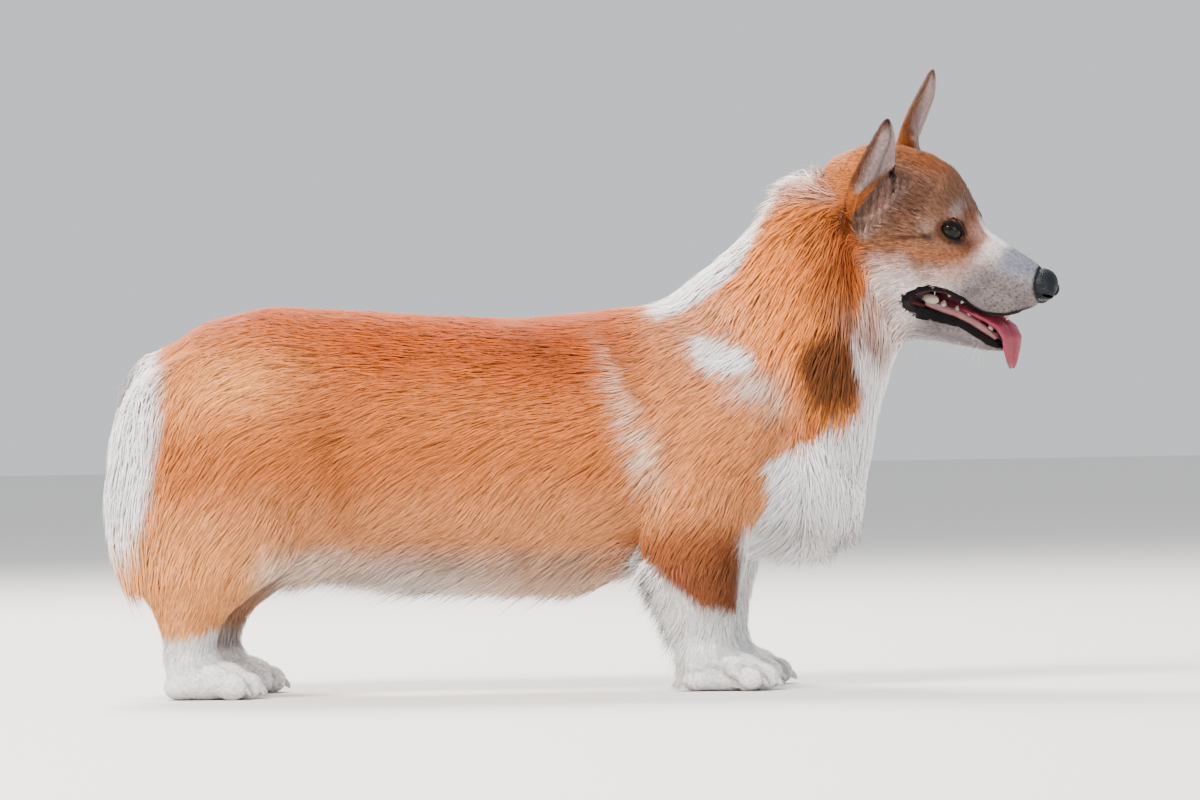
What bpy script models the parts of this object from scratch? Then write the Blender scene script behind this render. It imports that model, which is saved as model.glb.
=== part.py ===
"""Pembroke Welsh corgi standing in profile, life size, as a still museum model.

Metres, +Z up. The dog faces +X, its left side is +Y, and the floor is Z = 0.
Tables of sizes are in millimetres, and MM turns them into metres.
"""

import math
import random

import bmesh
import bpy
from mathutils import Euler, Matrix, Vector
from mathutils.bvhtree import BVHTree

MM = 0.001
GAP = 0.3  # clearance between neighbouring solids

# Driving dimensions
WITHERS = 278  # top of the shoulders, coat included
TOPLINE_DIP = 9  # how far the back sags behind the withers
CROUP = WITHERS + 3  # top of the hindquarters
BRISKET = 79  # underside of the chest, under the belly's locks
CHEST_HALF = 93  # half the width of the ribs
RUMP_HALF = 87
LEG_TOP_SEGMENTS = 14
BODY_SEGMENTS = 22

# Head pose: pivot in the skull, nose down, turned and leaned to the dog's right
HEAD_PIVOT = (215, 0, 320)
HEAD_PITCH = math.radians(20)
HEAD_YAW = math.radians(-12)
HEAD_ROLL = math.radians(10)

# The left legs stand a little ahead of the right ones
FORE_LEAD = {"left": 13, "right": 0}
HIND_LEAD = {"left": 11, "right": 0}
SIDE = {"left": 1, "right": -1}

# Resolution of the fused forms: voxel edge and triangles kept
BODY_VOXEL = 5.0
BODY_TRIANGLES = 1900
HEAD_VOXEL = 2.0
HEAD_TRIANGLES = 2400
PAW_VOXEL = 1.7
PAW_TRIANGLES = 340

COLOURS = {
    "red_coat": ((0.60, 0.27, 0.09, 1), 0.75),
    "white_coat": ((0.82, 0.80, 0.78, 1), 0.75),
    "nose_leather": ((0.02, 0.02, 0.025, 1), 0.35),
    "eye": ((0.03, 0.015, 0.01, 1), 0.08),
    "tongue": ((0.75, 0.30, 0.32, 1), 0.35),
}


def millimetres(values):
    return Vector(values) * MM


def new_object(name, bm, colour=None):
    """Closes a bmesh into a named object with its faces pointing out."""
    bmesh.ops.recalc_face_normals(bm, faces=bm.faces)
    mesh = bpy.data.meshes.new(name)
    bm.to_mesh(mesh)
    bm.free()
    obj = bpy.data.objects.new(name, mesh)
    bpy.context.collection.objects.link(obj)
    if colour:
        paint(obj, colour)
    return obj


def material(name):
    found = bpy.data.materials.get(name)
    if found:
        return found
    made = bpy.data.materials.new(name)
    made.use_nodes = True
    shader = made.node_tree.nodes["Principled BSDF"]
    colour, roughness = COLOURS[name]
    shader.inputs["Base Color"].default_value = colour
    shader.inputs["Roughness"].default_value = roughness
    shader.inputs["Metallic"].default_value = 0
    made.diffuse_color = colour
    return made


def paint(obj, name):
    obj.data.materials.clear()
    obj.data.materials.append(material(name))
    obj.data.shade_smooth()
    obj.data.set_sharp_from_angle(angle=math.radians(50))


def loft(name, rings, segments=BODY_SEGMENTS, frame=Matrix.Identity(4), grow=0.0):
    """A closed body through rings of (x1, z1, x2, z2, y centre, half width, fullness).

    The two points are opposite ends of the ring in the XZ plane, and the half width is along Y.
    Fullness above 0 makes the ring wider towards its first point, as an egg lying on its tip.
    """
    bm = bmesh.new()
    loops = []
    for x1, z1, x2, z2, y, half_width, fullness in rings:
        middle = Vector(((x1 + x2) / 2, y, (z1 + z2) / 2))
        axis = Vector((x1 - x2, 0, z1 - z2))
        reach = axis.length / 2 + grow
        axis.normalize()
        made = bmesh.ops.create_circle(bm, segments=segments, radius=1)
        for vert in made["verts"]:
            side, along = vert.co.x, vert.co.y
            width = (half_width + grow) * (1 + fullness * along)
            vert.co = frame @ ((middle + axis * along * reach + Vector((0, side * width, 0))) * MM)
        loops.append(sorted({e for v in made["verts"] for e in v.link_edges}, key=lambda e: e.index))
    for first, second in zip(loops, loops[1:]):
        bmesh.ops.bridge_loops(bm, edges=first + second)
    bmesh.ops.holes_fill(bm, edges=loops[0] + loops[-1], sides=segments)
    return new_object(name, bm)


def ball(name, centre, radii, turn=(0, 0, 0), frame=Matrix.Identity(4), detail=(18, 12)):
    """An ellipsoid, its sizes in millimetres and its turn in degrees."""
    bm = bmesh.new()
    bmesh.ops.create_uvsphere(bm, u_segments=detail[0], v_segments=detail[1], radius=1)
    turned = Euler([math.radians(a) for a in turn]).to_matrix().to_4x4()
    place = Matrix.Translation(millimetres(centre)) @ turned @ Matrix.Diagonal((*millimetres(radii), 1))
    bmesh.ops.transform(bm, matrix=frame @ place, verts=bm.verts)
    return new_object(name, bm)


def cone(name, root, tip, radii, frame=Matrix.Identity(4), sides=6):
    """A tapered stem from root to tip, points in millimetres."""
    start, end = millimetres(root), millimetres(tip)
    bm = bmesh.new()
    bmesh.ops.create_cone(bm, cap_ends=True, segments=sides, radius1=radii[0] * MM,
                          radius2=radii[1] * MM, depth=(end - start).length)
    turned = (end - start).to_track_quat("Z", "Y").to_matrix().to_4x4()
    bmesh.ops.transform(bm, matrix=frame @ Matrix.Translation((start + end) / 2) @ turned, verts=bm.verts)
    return new_object(name, bm)


def bake(obj):
    """Replaces the object's mesh by what its modifiers make of it."""
    bpy.context.view_layer.update()
    graph = bpy.context.evaluated_depsgraph_get()
    mesh = bpy.data.meshes.new_from_object(obj.evaluated_get(graph))
    old = obj.data
    obj.modifiers.clear()
    obj.data = mesh
    bpy.data.meshes.remove(old)
    return obj


def remove(*objects):
    for obj in objects:
        bpy.data.objects.remove(obj)


def fuse(name, pieces, voxel, smoothing, triangles):
    """One smooth closed body from overlapping pieces, brought down to about so many triangles."""
    bm = bmesh.new()
    for piece in pieces:
        bm.from_mesh(piece.data)
    fused = new_object(name, bm)
    remove(*pieces)
    remesh = fused.modifiers.new("fuse", "REMESH")
    remesh.mode = "VOXEL"
    remesh.voxel_size = voxel * MM
    remesh.adaptivity = 0
    smooth = fused.modifiers.new("relax", "SMOOTH")
    smooth.factor = 0.5
    smooth.iterations = smoothing
    bake(fused)
    bm = bmesh.new()
    bm.from_mesh(fused.data)
    bmesh.ops.triangulate(bm, faces=bm.faces)
    bm.to_mesh(fused.data)
    count = len(bm.faces)
    bm.free()
    fewer = fused.modifiers.new("fewer", "DECIMATE")
    fewer.ratio = min(1.0, triangles / count)
    return bake(fused)


def combine(target, operation, tools):
    """Cuts, joins or crosses the target with other solids, which are then removed."""
    group = bpy.data.collections.new("tools")
    for tool in tools:
        group.objects.link(tool)
    boolean = target.modifiers.new(operation.lower(), "BOOLEAN")
    boolean.operation = operation
    boolean.operand_type = "COLLECTION"
    boolean.collection = group
    boolean.solver = "EXACT"
    bake(target)
    remove(*tools)
    bpy.data.collections.remove(group)
    return target


def copy_of(obj, name):
    made = bpy.data.objects.new(name, obj.data.copy())
    bpy.context.collection.objects.link(made)
    return made


def grown(obj, by=GAP):
    """A copy of a solid with its surface moved out by the gap."""
    bm = bmesh.new()
    bm.from_mesh(obj.data)
    bmesh.ops.remove_doubles(bm, verts=bm.verts, dist=0.01 * MM)
    bm.normal_update()
    moves = [(vert, vert.normal * vert.calc_shell_factor() * by * MM) for vert in bm.verts]
    for vert, move in moves:
        vert.co += move
    return new_object(obj.name + "_grown", bm)


def slice_off(obj, point, normal):
    """Keeps what lies behind a plane, and closes the cut with a flat face."""
    bm = bmesh.new()
    bm.from_mesh(obj.data)
    geometry = bm.verts[:] + bm.edges[:] + bm.faces[:]
    bmesh.ops.bisect_plane(bm, geom=geometry, dist=0.01 * MM, plane_co=point, plane_no=normal,
                           clear_outer=True)
    rim = [edge for edge in bm.edges if edge.is_boundary]
    bmesh.ops.holes_fill(bm, edges=rim, sides=0)
    bmesh.ops.triangulate(bm, faces=[f for f in bm.faces if len(f.verts) > 4])
    bm.to_mesh(obj.data)
    bm.free()
    return obj


def keep_largest(obj):
    """Drops every closed surface but the largest one."""
    bm = bmesh.new()
    bm.from_mesh(obj.data)
    bmesh.ops.remove_doubles(bm, verts=bm.verts, dist=0.005 * MM)
    left, largest = set(bm.faces), set()
    while left:
        queue = [left.pop()]
        group = set(queue)
        while queue:
            face = queue.pop()
            near = {other for edge in face.edges for other in edge.link_faces} & left
            left -= near
            group |= near
            queue.extend(near)
        largest = max(largest, group, key=len)
    bmesh.ops.delete(bm, geom=[face for face in bm.faces if face not in largest], context="FACES")
    bmesh.ops.triangulate(bm, faces=bm.faces)
    bm.to_mesh(obj.data)
    bm.free()
    return obj


def named(obj, name, colour):
    obj.name = name
    obj.data.name = name
    paint(keep_largest(obj), colour)
    return obj


# Torso rings, rump to breast: top and underside of the coat, and half width
TORSO = [
    # x, top, underside, half width, fullness
    (-332, 196, 138, 34, 0.0),
    (-323, 224, 112, 58, 0.0),
    (-304, 249, 97, 73, 0.0),
    (-273, 270, 90, 82, 0.0),
    (-225, CROUP, 88, RUMP_HALF, 0.05),
    (-165, WITHERS - 1, 92, 83, 0.05),
    (-100, WITHERS - 6, BRISKET + 5, 85, 0.02),
    (-45, WITHERS - TOPLINE_DIP, BRISKET + 2, 90, 0.0),
    (5, WITHERS - 5, BRISKET, CHEST_HALF, 0.0),
    (50, WITHERS, BRISKET + 2, CHEST_HALF, 0.0),
    (95, 276, BRISKET + 6, 89, 0.0),
    (133, 262, BRISKET + 17, 80, 0.0),
    (165, 240, BRISKET + 29, 66, 0.0),
    (187, 215, BRISKET + 44, 47, 0.0),
    (199, 187, BRISKET + 67, 22, 0.0),
]

# Neck rings: point on the nape, point on the throat, half width
NECK = [
    (22, 260, 184, 120, 75),
    (65, 282, 200, 144, 72),
    (99, 307, 207, 179, 66),
    (131, 336, 213, 207, 61),
    (156, 361, 223, 232, 57),
    (182, 375, 237, 250, 54),
    (205, 380, 250, 262, 48),
]

# Leg rings, top to bottom: height, back and front, distance of the centre from the middle, half width
FORELEG = [
    (190, 30, 128, 50, 34),
    (150, 32, 126, 60, 34),
    (112, 36, 118, 63, 33),
    (86, 42, 113, 61, 28),
    (62, 53, 108, 57, 23),
    (44, 62, 105, 54, 20),
    (30, 64, 107, 53, 21),
    (16, 66, 110, 53, 21),
]
HINDLEG = [
    (205, -330, -205, 40, 36),
    (160, -337, -194, 50, 39),
    (122, -337, -193, 53, 37),
    (98, -332, -205, 54, 33),
    (78, -319, -230, 54, 27),
    (60, -308, -254, 54, 21),
    (42, -303, -263, 54, 18),
    (28, -302, -260, 54, 18),
    (14, -300, -256, 54, 18),
]

# What belongs to each leg: height, back and front, centre from the middle, half width
FORELEG_REGION = [
    (-12, 30, 175, 58, 48),
    (64, 26, 150, 60, 46),
    (96, 24, 132, 64, 42),
    (118, 36, 120, 70, 34),
    (130, 56, 102, 78, 20),
]
HINDLEG_REGION = [
    (-12, -330, -190, 58, 50),
    (62, -352, -190, 58, 50),
    (92, -362, -172, 60, 48),
    (135, -366, -168, 70, 46),
    (180, -356, -178, 82, 40),
    (218, -330, -200, 94, 28),
    (234, -300, -232, 102, 14),
]
PAW_CUT = 27  # height of the cut between leg and paw

# Toes, outer to inner: sideways place and how far the tip lies ahead of the paw's centre
TOES = [(-16.5, 29), (-5.8, 38), (5.8, 38), (16.5, 29)]
FOREPAW = {"x": 98, "y": 53, "turn": 5}
HINDPAW = {"x": -269, "y": 54, "turn": 3}


def limb_rings(table, side, lead, fullness=0.0):
    return [(back + lead, z, front + lead, z, SIDE[side] * y, half, fullness)
            for z, back, front, y, half in table]


def torso_loft():
    return loft("torso_form", [(x, top, x, low, 0, half, full) for x, top, low, half, full in TORSO])


def neck_loft():
    return loft("neck_form", [(x1, z1, x2, z2, 0, half, -0.04) for x1, z1, x2, z2, half in NECK])


def leg_lofts(side):
    fore = loft("fore_form", limb_rings(FORELEG, side, FORE_LEAD[side]), LEG_TOP_SEGMENTS)
    hind = loft("hind_form", limb_rings(HINDLEG, side, HIND_LEAD[side]), LEG_TOP_SEGMENTS)
    return [fore, hind]


def muscle_balls(side):
    """Shoulder and thigh, which round the body out above the legs."""
    sign = SIDE[side]
    shoulder = ball("shoulder", (92, sign * 56, 172), (56, 38, 76), (0, 24, 0))
    thigh = ball("thigh", (-262, sign * 50, 168), (72, 39, 84), (0, -10, 0))
    return [shoulder, thigh]


def head_frame():
    turn = Euler((HEAD_ROLL, HEAD_PITCH, HEAD_YAW), "XYZ").to_matrix().to_4x4()
    return Matrix.Translation(millimetres(HEAD_PIVOT)) @ turn


# Head sizes in the head's own frame: x to the nose, z up, its origin at the pivot
SKULL = [
    # x, top, underside, half width, fullness
    (-52, 46, -30, 38, 0.0),
    (-32, 63, -40, 50, 0.0),
    (-8, 71, -43, 55, -0.02),
    (16, 72.5, -40, 55, -0.04),
    (36, 68, -34, 51, -0.05),
    (50, 57, -30, 44, -0.06),
    (62, 44, -27, 36, -0.10),
    (73, 33, -25, 28, -0.12),
    (88, 28.5, -25, 23.5, -0.10),
    (103, 25, -21, 21.5, -0.06),
    (116, 20.5, -15, 18, 0.0),
    (124, 15, -8, 12, 0.0),
]
JAW = [
    (-25, -10, -64, 40, 0.0),
    (5, -16, -70, 40, 0.0),
    (28, -22, -68, 36, 0.0),
    (45, -27, -61, 29, 0.0),
    (62, -29, -57, 22.5, 0.0),
    (80, -31.5, -54.5, 18.5, 0.0),
    (96, -36, -52, 15.5, 0.0),
    (108, -39, -49, 11.5, 0.0),
    (113, -41, -46, 6, 0.0),
]
# The open mouth, cut from side to side: x, upper lip edge, lower lip edge
MOUTH = [
    (38, -23.8, -26.2, 62),
    (43, -19, -28.5, 62),
    (52, -15.5, -30.5, 60),
    (62, -15, -30.8, 56),
    (77, -19.5, -32, 44),
    (91, -22.5, -35.5, 44),
    (104, -20, -39.5, 44),
    (118, -12, -41, 44),
    (140, -6, -46, 44),
]
JAW_CUT = ((38.5, -25), (-40, -44))  # from the mouth's corner back below the ear
EYE = {"x": 51, "y": 29, "z": 29.5, "radius": 10.2, "lid": 1.6}
NOSE = {"x": 122.5, "z": 8.3, "radii": (11, 14.5, 12.5)}
NECK_CUT = ((62, 292), (207, 148))
HEAD_CUT = ((160, 392), (236, 236))


def skull_forms(frame):
    """Skull with muzzle, and the lower jaw with the throat's upper end."""
    tables = {"skull_form": SKULL, "jaw_form": JAW}
    return [loft(name, [(x, top, x, low, 0, half, full) for x, top, low, half, full in table], frame=frame)
            for name, table in tables.items()]


def face_forms(frame):
    """Cheeks, brows, cheekbones and upper lips."""
    forms = []
    for sign in SIDE.values():
        forms.append(ball("cheek", (14, sign * 38, -12), (38, 21, 30), (0, 0, sign * -12), frame))
        forms.append(ball("brow", (46, sign * 21, 43), (15, 13, 7.5), (0, 24, sign * 20), frame))
        forms.append(ball("cheekbone", (48, sign * 32, 10), (24, 10, 9), (0, 5, sign * -28), frame))
        forms.append(ball("lip", (92, sign * 13, -10), (25, 11.5, 14), (0, 0, sign * -4), frame))
    return forms


def head_solid(frame):
    """Head and lower jaw in one, with lids, mouth and teeth, before they are parted."""
    head = fuse("head", skull_forms(frame) + face_forms(frame) + [neck_loft()], HEAD_VOXEL, 5, HEAD_TRIANGLES)
    mouth = loft("mouth", [(x, top, x, low, 0, half, 0) for x, top, low, half in MOUTH], 8, frame)
    combine(head, "DIFFERENCE", [mouth])
    return head


def eye_pair(frame):
    eyes = {}
    for side, sign in SIDE.items():
        centre = (EYE["x"], sign * EYE["y"], EYE["z"])
        eyes[side] = ball("eye_" + side, centre, (EYE["radius"],) * 3, (0, 90, 0), frame, (14, 9))
    return eyes


def add_lids(head, frame):
    """A lid bulge round each eyeball, with an almond opening that looks out and ahead."""
    for sign in SIDE.values():
        centre = Vector((EYE["x"], sign * EYE["y"], EYE["z"]))
        lid = EYE["radius"] + EYE["lid"]
        bulge = ball("lid", centre, (lid,) * 3, (0, 0, 0), frame, (20, 14))
        combine(head, "UNION", [bulge])
        gaze = Vector((0.42, sign * 0.9, 0.06)).normalized()
        opening = centre + gaze * lid
        slit = ball("slit", opening, (10.4, 9, 6.0), (0, -12, sign * -25), frame, (16, 10))
        socket = ball("socket", centre, (EYE["radius"] + GAP,) * 3, (0, 90, 0), frame, (16, 10))
        combine(head, "DIFFERENCE", [slit, socket])
    return head


def build_head():
    frame = head_frame()
    head = add_lids(head_solid(frame), frame)
    # Behind the cut the head gives way to the neck
    top, ahead = cut_plane(HEAD_CUT)
    slice_off(head, (top + ahead * GAP / 2) * MM, -ahead)
    jaw = copy_of(head, "jaw")
    (x1, z1), (x2, z2) = JAW_CUT
    corner, back = Vector((x1, 0, z1)), Vector((x2, 0, z2))
    below = Vector((corner.z - back.z, 0, back.x - corner.x)).normalized()
    turn = frame.to_3x3()
    slice_off(head, frame @ ((corner - below * GAP / 2) * MM), turn @ below)
    slice_off(jaw, frame @ ((corner + below * GAP / 2) * MM), turn @ -below)
    return named(head, "head", "red_coat"), named(jaw, "lower_jaw", "white_coat"), frame


def build_nose(head, frame):
    nose = ball("nose", (NOSE["x"], 0, NOSE["z"]), NOSE["radii"], (0, 12, 0), frame, (14, 10))
    nostrils = []
    for sign in SIDE.values():
        x, z = NOSE["x"], NOSE["z"]
        hole = ball("nostril", (x + 11, sign * 6.2, z - 1.5), (5, 3.2, 3.4), (0, 0, sign * 25), frame, (8, 6))
        slit = ball("slit", (x + 8, sign * 11.5, z - 3.5), (5, 4, 1.4), (0, 0, sign * 50), frame, (8, 4))
        nostrils += [hole, slit]
    combine(nose, "DIFFERENCE", nostrils)
    combine(nose, "DIFFERENCE", [grown(head)])
    return named(nose, "nose", "nose_leather")


# Tongue, throat to tip: centre, sideways shift, half width and half thickness
TONGUE = [
    (52, -26, 0, 11, 2.5),
    (66, -25, 0, 13, 3.2),
    (84, -26, -1, 14, 3.6),
    (98, -27, -2, 14, 3.6),
    (108, -29.5, -3, 13.5, 3.4),
    (115, -35, -4, 12.5, 3.0),
    (119, -43.5, -5, 11, 2.7),
    (120, -52, -6, 8.5, 2.3),
    (119.5, -57, -6, 4.5, 1.8),
]
# The right edge of the tongue hangs further back
TONGUE_SKEW = Matrix(((1, 0.38, 0, 0), (0, 1, 0, 0), (0, 0, 1, 0), (0, 0, 0, 1)))


def build_tongue(head, jaw, frame):
    rings = []
    for index, (x, z, y, half, thick) in enumerate(TONGUE):
        before, after = TONGUE[max(index - 1, 0)], TONGUE[min(index + 1, len(TONGUE) - 1)]
        along = Vector((after[0] - before[0], 0, after[1] - before[1])).normalized()
        rise = Vector((-along.z, 0, along.x)) * thick
        rings.append((x + rise.x, z + rise.z, x - rise.x, z - rise.z, y, half, 0))
    tongue = loft("tongue", rings, 10, frame @ TONGUE_SKEW)
    combine(tongue, "DIFFERENCE", [grown(jaw), grown(head)])
    return named(tongue, "tongue", "tongue")


# Ear rings, root to tip, in the head's frame for the left ear: centre, half width, half depth
EAR_ROOT = (-4, 49, 37)
EAR_TIP = {"left": (-11, 72, 118), "right": (-6, 84, 100)}
EAR_PROFILE = [(0.0, 27, 13), (0.2, 26, 13), (0.42, 22.5, 11), (0.64, 17, 8.5), (0.84, 10, 5.5),
               (1.0, 2.5, 2.2)]
EAR_WALL = 3.2
EAR_SLIDE = 9  # how far the hollow is moved out through the cup's open side
# The way each cup opens, ahead and outwards
EAR_FACING = {"left": (0.98, 0.02, 0), "right": (0.965, 0.25, 0)}
EAR_ROOT_LINE = (-0.3, 0.35, -0.88)  # the root runs this way down the side of the head
EAR_SQUARE = 0.5  # share of the height from which the sections stand square to the ear
EAR_HOOK = 0.012  # how much the cup's two edges curl back


def ear_loft(name, side, frame, inset, slide, start):
    """A tapering round-tipped shell, or with an inset the hollow that opens it."""
    sign = SIDE[side]
    root, tip = Vector(EAR_ROOT), Vector(EAR_TIP[side])
    axis = (tip - root).normalized()
    facing = Vector(EAR_FACING[side])
    facing = (facing - axis * facing.dot(axis)).normalized()
    bm = bmesh.new()
    loops = []
    for share, half, depth in EAR_PROFILE:
        centre = root.lerp(tip, start + share * (1 - start)) + facing * slide
        across = Vector(EAR_ROOT_LINE).lerp(axis.cross(facing), min(share / EAR_SQUARE, 1)).normalized()
        made = bmesh.ops.create_circle(bm, segments=14, radius=1)
        for vert in made["verts"]:
            wide, deep = vert.co.x * max(half - inset, 0.8), vert.co.y * max(depth - inset, 0.8)
            place = centre + across * wide + facing * (deep - EAR_HOOK * wide * wide)
            vert.co = frame @ (Vector((place.x, sign * place.y, place.z)) * MM)
        loops.append(sorted({e for v in made["verts"] for e in v.link_edges}, key=lambda e: e.index))
    for first, second in zip(loops, loops[1:]):
        bmesh.ops.bridge_loops(bm, edges=first + second)
    bmesh.ops.holes_fill(bm, edges=loops[0] + loops[-1], sides=14)
    return new_object(name, bm)


def build_ear(side, head, frame):
    ear = ear_loft("ear", side, frame, 0, 0, 0)
    hollow = ear_loft("hollow", side, frame, EAR_WALL, EAR_SLIDE, 0.06)
    combine(ear, "DIFFERENCE", [hollow])
    combine(ear, "DIFFERENCE", [grown(head)])
    return named(ear, "ear_" + side, "red_coat")


def build_paw(name, side, place, lead, leg_table):
    """A paw with four toes and claws, cut flat where it stands on the floor."""
    sign = SIDE[side]
    turn = Matrix.Rotation(math.radians(sign * place["turn"]), 4, "Z")
    spot = Matrix.Translation(millimetres((place["x"] + lead, sign * place["y"], 0)))
    frame = spot @ turn
    forms = [ball("palm", (0, 0, 13.5), (30, 21, 16), frame=frame),
             ball("heel", (-18, 0, 9), (16, 17, 11), frame=frame)]
    for y, tip in TOES:
        forms.append(ball("toe", (tip - 12, y * 1.06, 9.6), (12.5, 7.4, 11), (0, 14, y * 0.5), frame))
        forms.append(ball("knuckle", (tip - 23, y, 15), (13, 6.8, 10.5), (0, 18, 0), frame))
    forms.append(loft("pastern", limb_rings([r for r in leg_table if r[0] < 70], side, lead), 14))
    paw = fuse(name, forms, PAW_VOXEL, 3, PAW_TRIANGLES)
    claws = [cone("claw", (tip - 5, y * 1.08, 7.2), (tip + 4.5, y * 1.14, 1.4), (2.6, 0.7), frame)
             for y, tip in TOES]
    combine(paw, "UNION", claws)
    slice_off(paw, Vector((0, 0, PAW_CUT - GAP / 2)) * MM, Vector((0, 0, 1)))
    slice_off(paw, Vector((0, 0, 0)), Vector((0, 0, -1)))
    return named(paw, name, "white_coat")


# Where long hair grows. Each form is a grid of roots found along an aim from a start: rows over one
# span, heights for an aim along X or places along the body for an aim along Z, and columns across.
# Reach, width and lift are a lock's length, its widest stretch and how far its middle stands off.
LONG_HAIR = {
    "breeches": {"aim": (1, 0, 0), "start": -420, "rows": 6, "span": (212, 92), "columns": 5,
                 "across": (-76, 76), "lie": (-0.2, 0, -1), "reach": 50, "width": 31, "lift": 9,
                 "cling": 0.75},
    "chest": {"aim": (-1, 0, 0), "start": 330, "rows": 5, "span": (236, 114), "columns": 4,
              "across": (-48, 48), "lie": (0.12, 0, -1), "reach": 50, "width": 29, "lift": 8, "cling": 0.7},
    "throat": {"aim": (-1, 0, 0), "start": 330, "rows": 1, "span": (258, 250), "columns": 3,
               "across": (-34, 34), "lie": (0, 0, -1), "reach": 36, "width": 18, "lift": 5, "cling": 0.7},
    "keel": {"aim": (0, 0, 1), "start": -60, "rows": 1, "span": (160, 140), "columns": 3,
             "across": (-38, 38), "lie": (-1, 0, -0.4), "reach": 34, "width": 22, "lift": 8, "cling": 0.4},
    "belly": {"aim": (0, 0, 1), "start": -60, "rows": 4, "span": (4, -140), "columns": 3,
              "across": (-36, 36), "lie": (-1, 0, -0.6), "reach": 48, "width": 32, "lift": 15, "cling": 0.1},
}
HAIR_SPLAY = 160  # the further from the middle over this, the more a lock turns outwards
FRINGE = {"rows": 2, "columns": 6, "x": (16, -160), "z": (91, 108), "lie": (-0.45, 0, -1), "reach": 40,
          "width": 35, "lift": 4, "cling": 0}
FRINGE_HANG = {"x": -100, "width": 45, "least": 0.9, "more": 0.7}  # where along the belly it hangs lowest
RUFF = {"rows": 4, "columns": 6, "turn": (-80, 80), "centre": 0.42, "drop": 0.75, "reach": 54, "width": 34,
        "lift": 7, "cling": 0.7}
RUFF_NAPE = {"turn": 0.5, "scale": 0.85}  # locks this near the nape, in radians, are shorter
FEATHERS = {"count": 3, "z": (74, 52), "y": (52.5, 61.5), "lie": (-0.7, 0, -1), "reach": 22, "width": 17,
            "lift": 4, "cling": 0.2}
BESIDE = 160  # where a line that looks for the skin starts, clear of the body
BEHIND_ELBOW = -20
SEEK = 200  # where such a line meets no skin within this, no lock grows
LOCK_THICK = 3.2
TAIL_END = (-328, 0, 222)
TAIL_CLEAR = 30  # no lock grows nearer to the end of the tail
LOCK_ROOT = 6.0  # how deep a lock's root is sunk


def lock(tree, root, normal, lie, reach, width, lift, sway, cling):
    """A flat tapered lock from its sunk root, over its bend, to one pointed tip.

    Cling is how closely it follows the body: 1 bends with the surface, 0 goes straight on.
    """
    lie = (lie - normal * lie.dot(normal)).normalized()
    across = normal.cross(lie)

    def place(along, rise):
        straight = root + lie * reach * along + normal * rise
        if along > 0:
            near, outward, _, _ = tree.find_nearest(straight * MM)
            straight = straight.lerp(near / MM + outward * rise, cling)
        return straight + across * sway * along * along

    stations = [
        (-0.14, -LOCK_ROOT, 0.8, 1.0),
        (0.36, lift * 0.75, 1.0, 1.0),
        (0.74, lift * 1.05, 0.66, 0.7),
    ]
    bm = bmesh.new()
    loops = []
    for along, rise, wide, thick in stations:
        made = bmesh.ops.create_circle(bm, segments=4, radius=1)
        centre = place(along, rise)
        for vert in made["verts"]:
            flat = across * vert.co.x * wide * width / 2 + normal * vert.co.y * thick * LOCK_THICK / 2
            vert.co = (centre + flat) * MM
        loops.append(made["verts"])
    edges = [sorted({e for v in verts for e in v.link_edges}, key=lambda e: e.index) for verts in loops]
    for first, second in zip(edges, edges[1:]):
        bmesh.ops.bridge_loops(bm, edges=first + second)
    bmesh.ops.holes_fill(bm, edges=edges[0], sides=4)
    tip = bmesh.ops.extrude_edge_only(bm, edges=edges[-1])
    ends = [item for item in tip["geom"] if isinstance(item, bmesh.types.BMVert)]
    bmesh.ops.pointmerge(bm, verts=ends, merge_co=place(1, lift * 0.85) * MM)
    bmesh.ops.triangulate(bm, faces=bm.faces)
    return new_object("lock", bm)


def spread(ends, index, count):
    """The value at one of so many even steps between two ends."""
    return ends[0] + (ends[1] - ends[0]) * (index / (count - 1) if count > 1 else 0.5)


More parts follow.
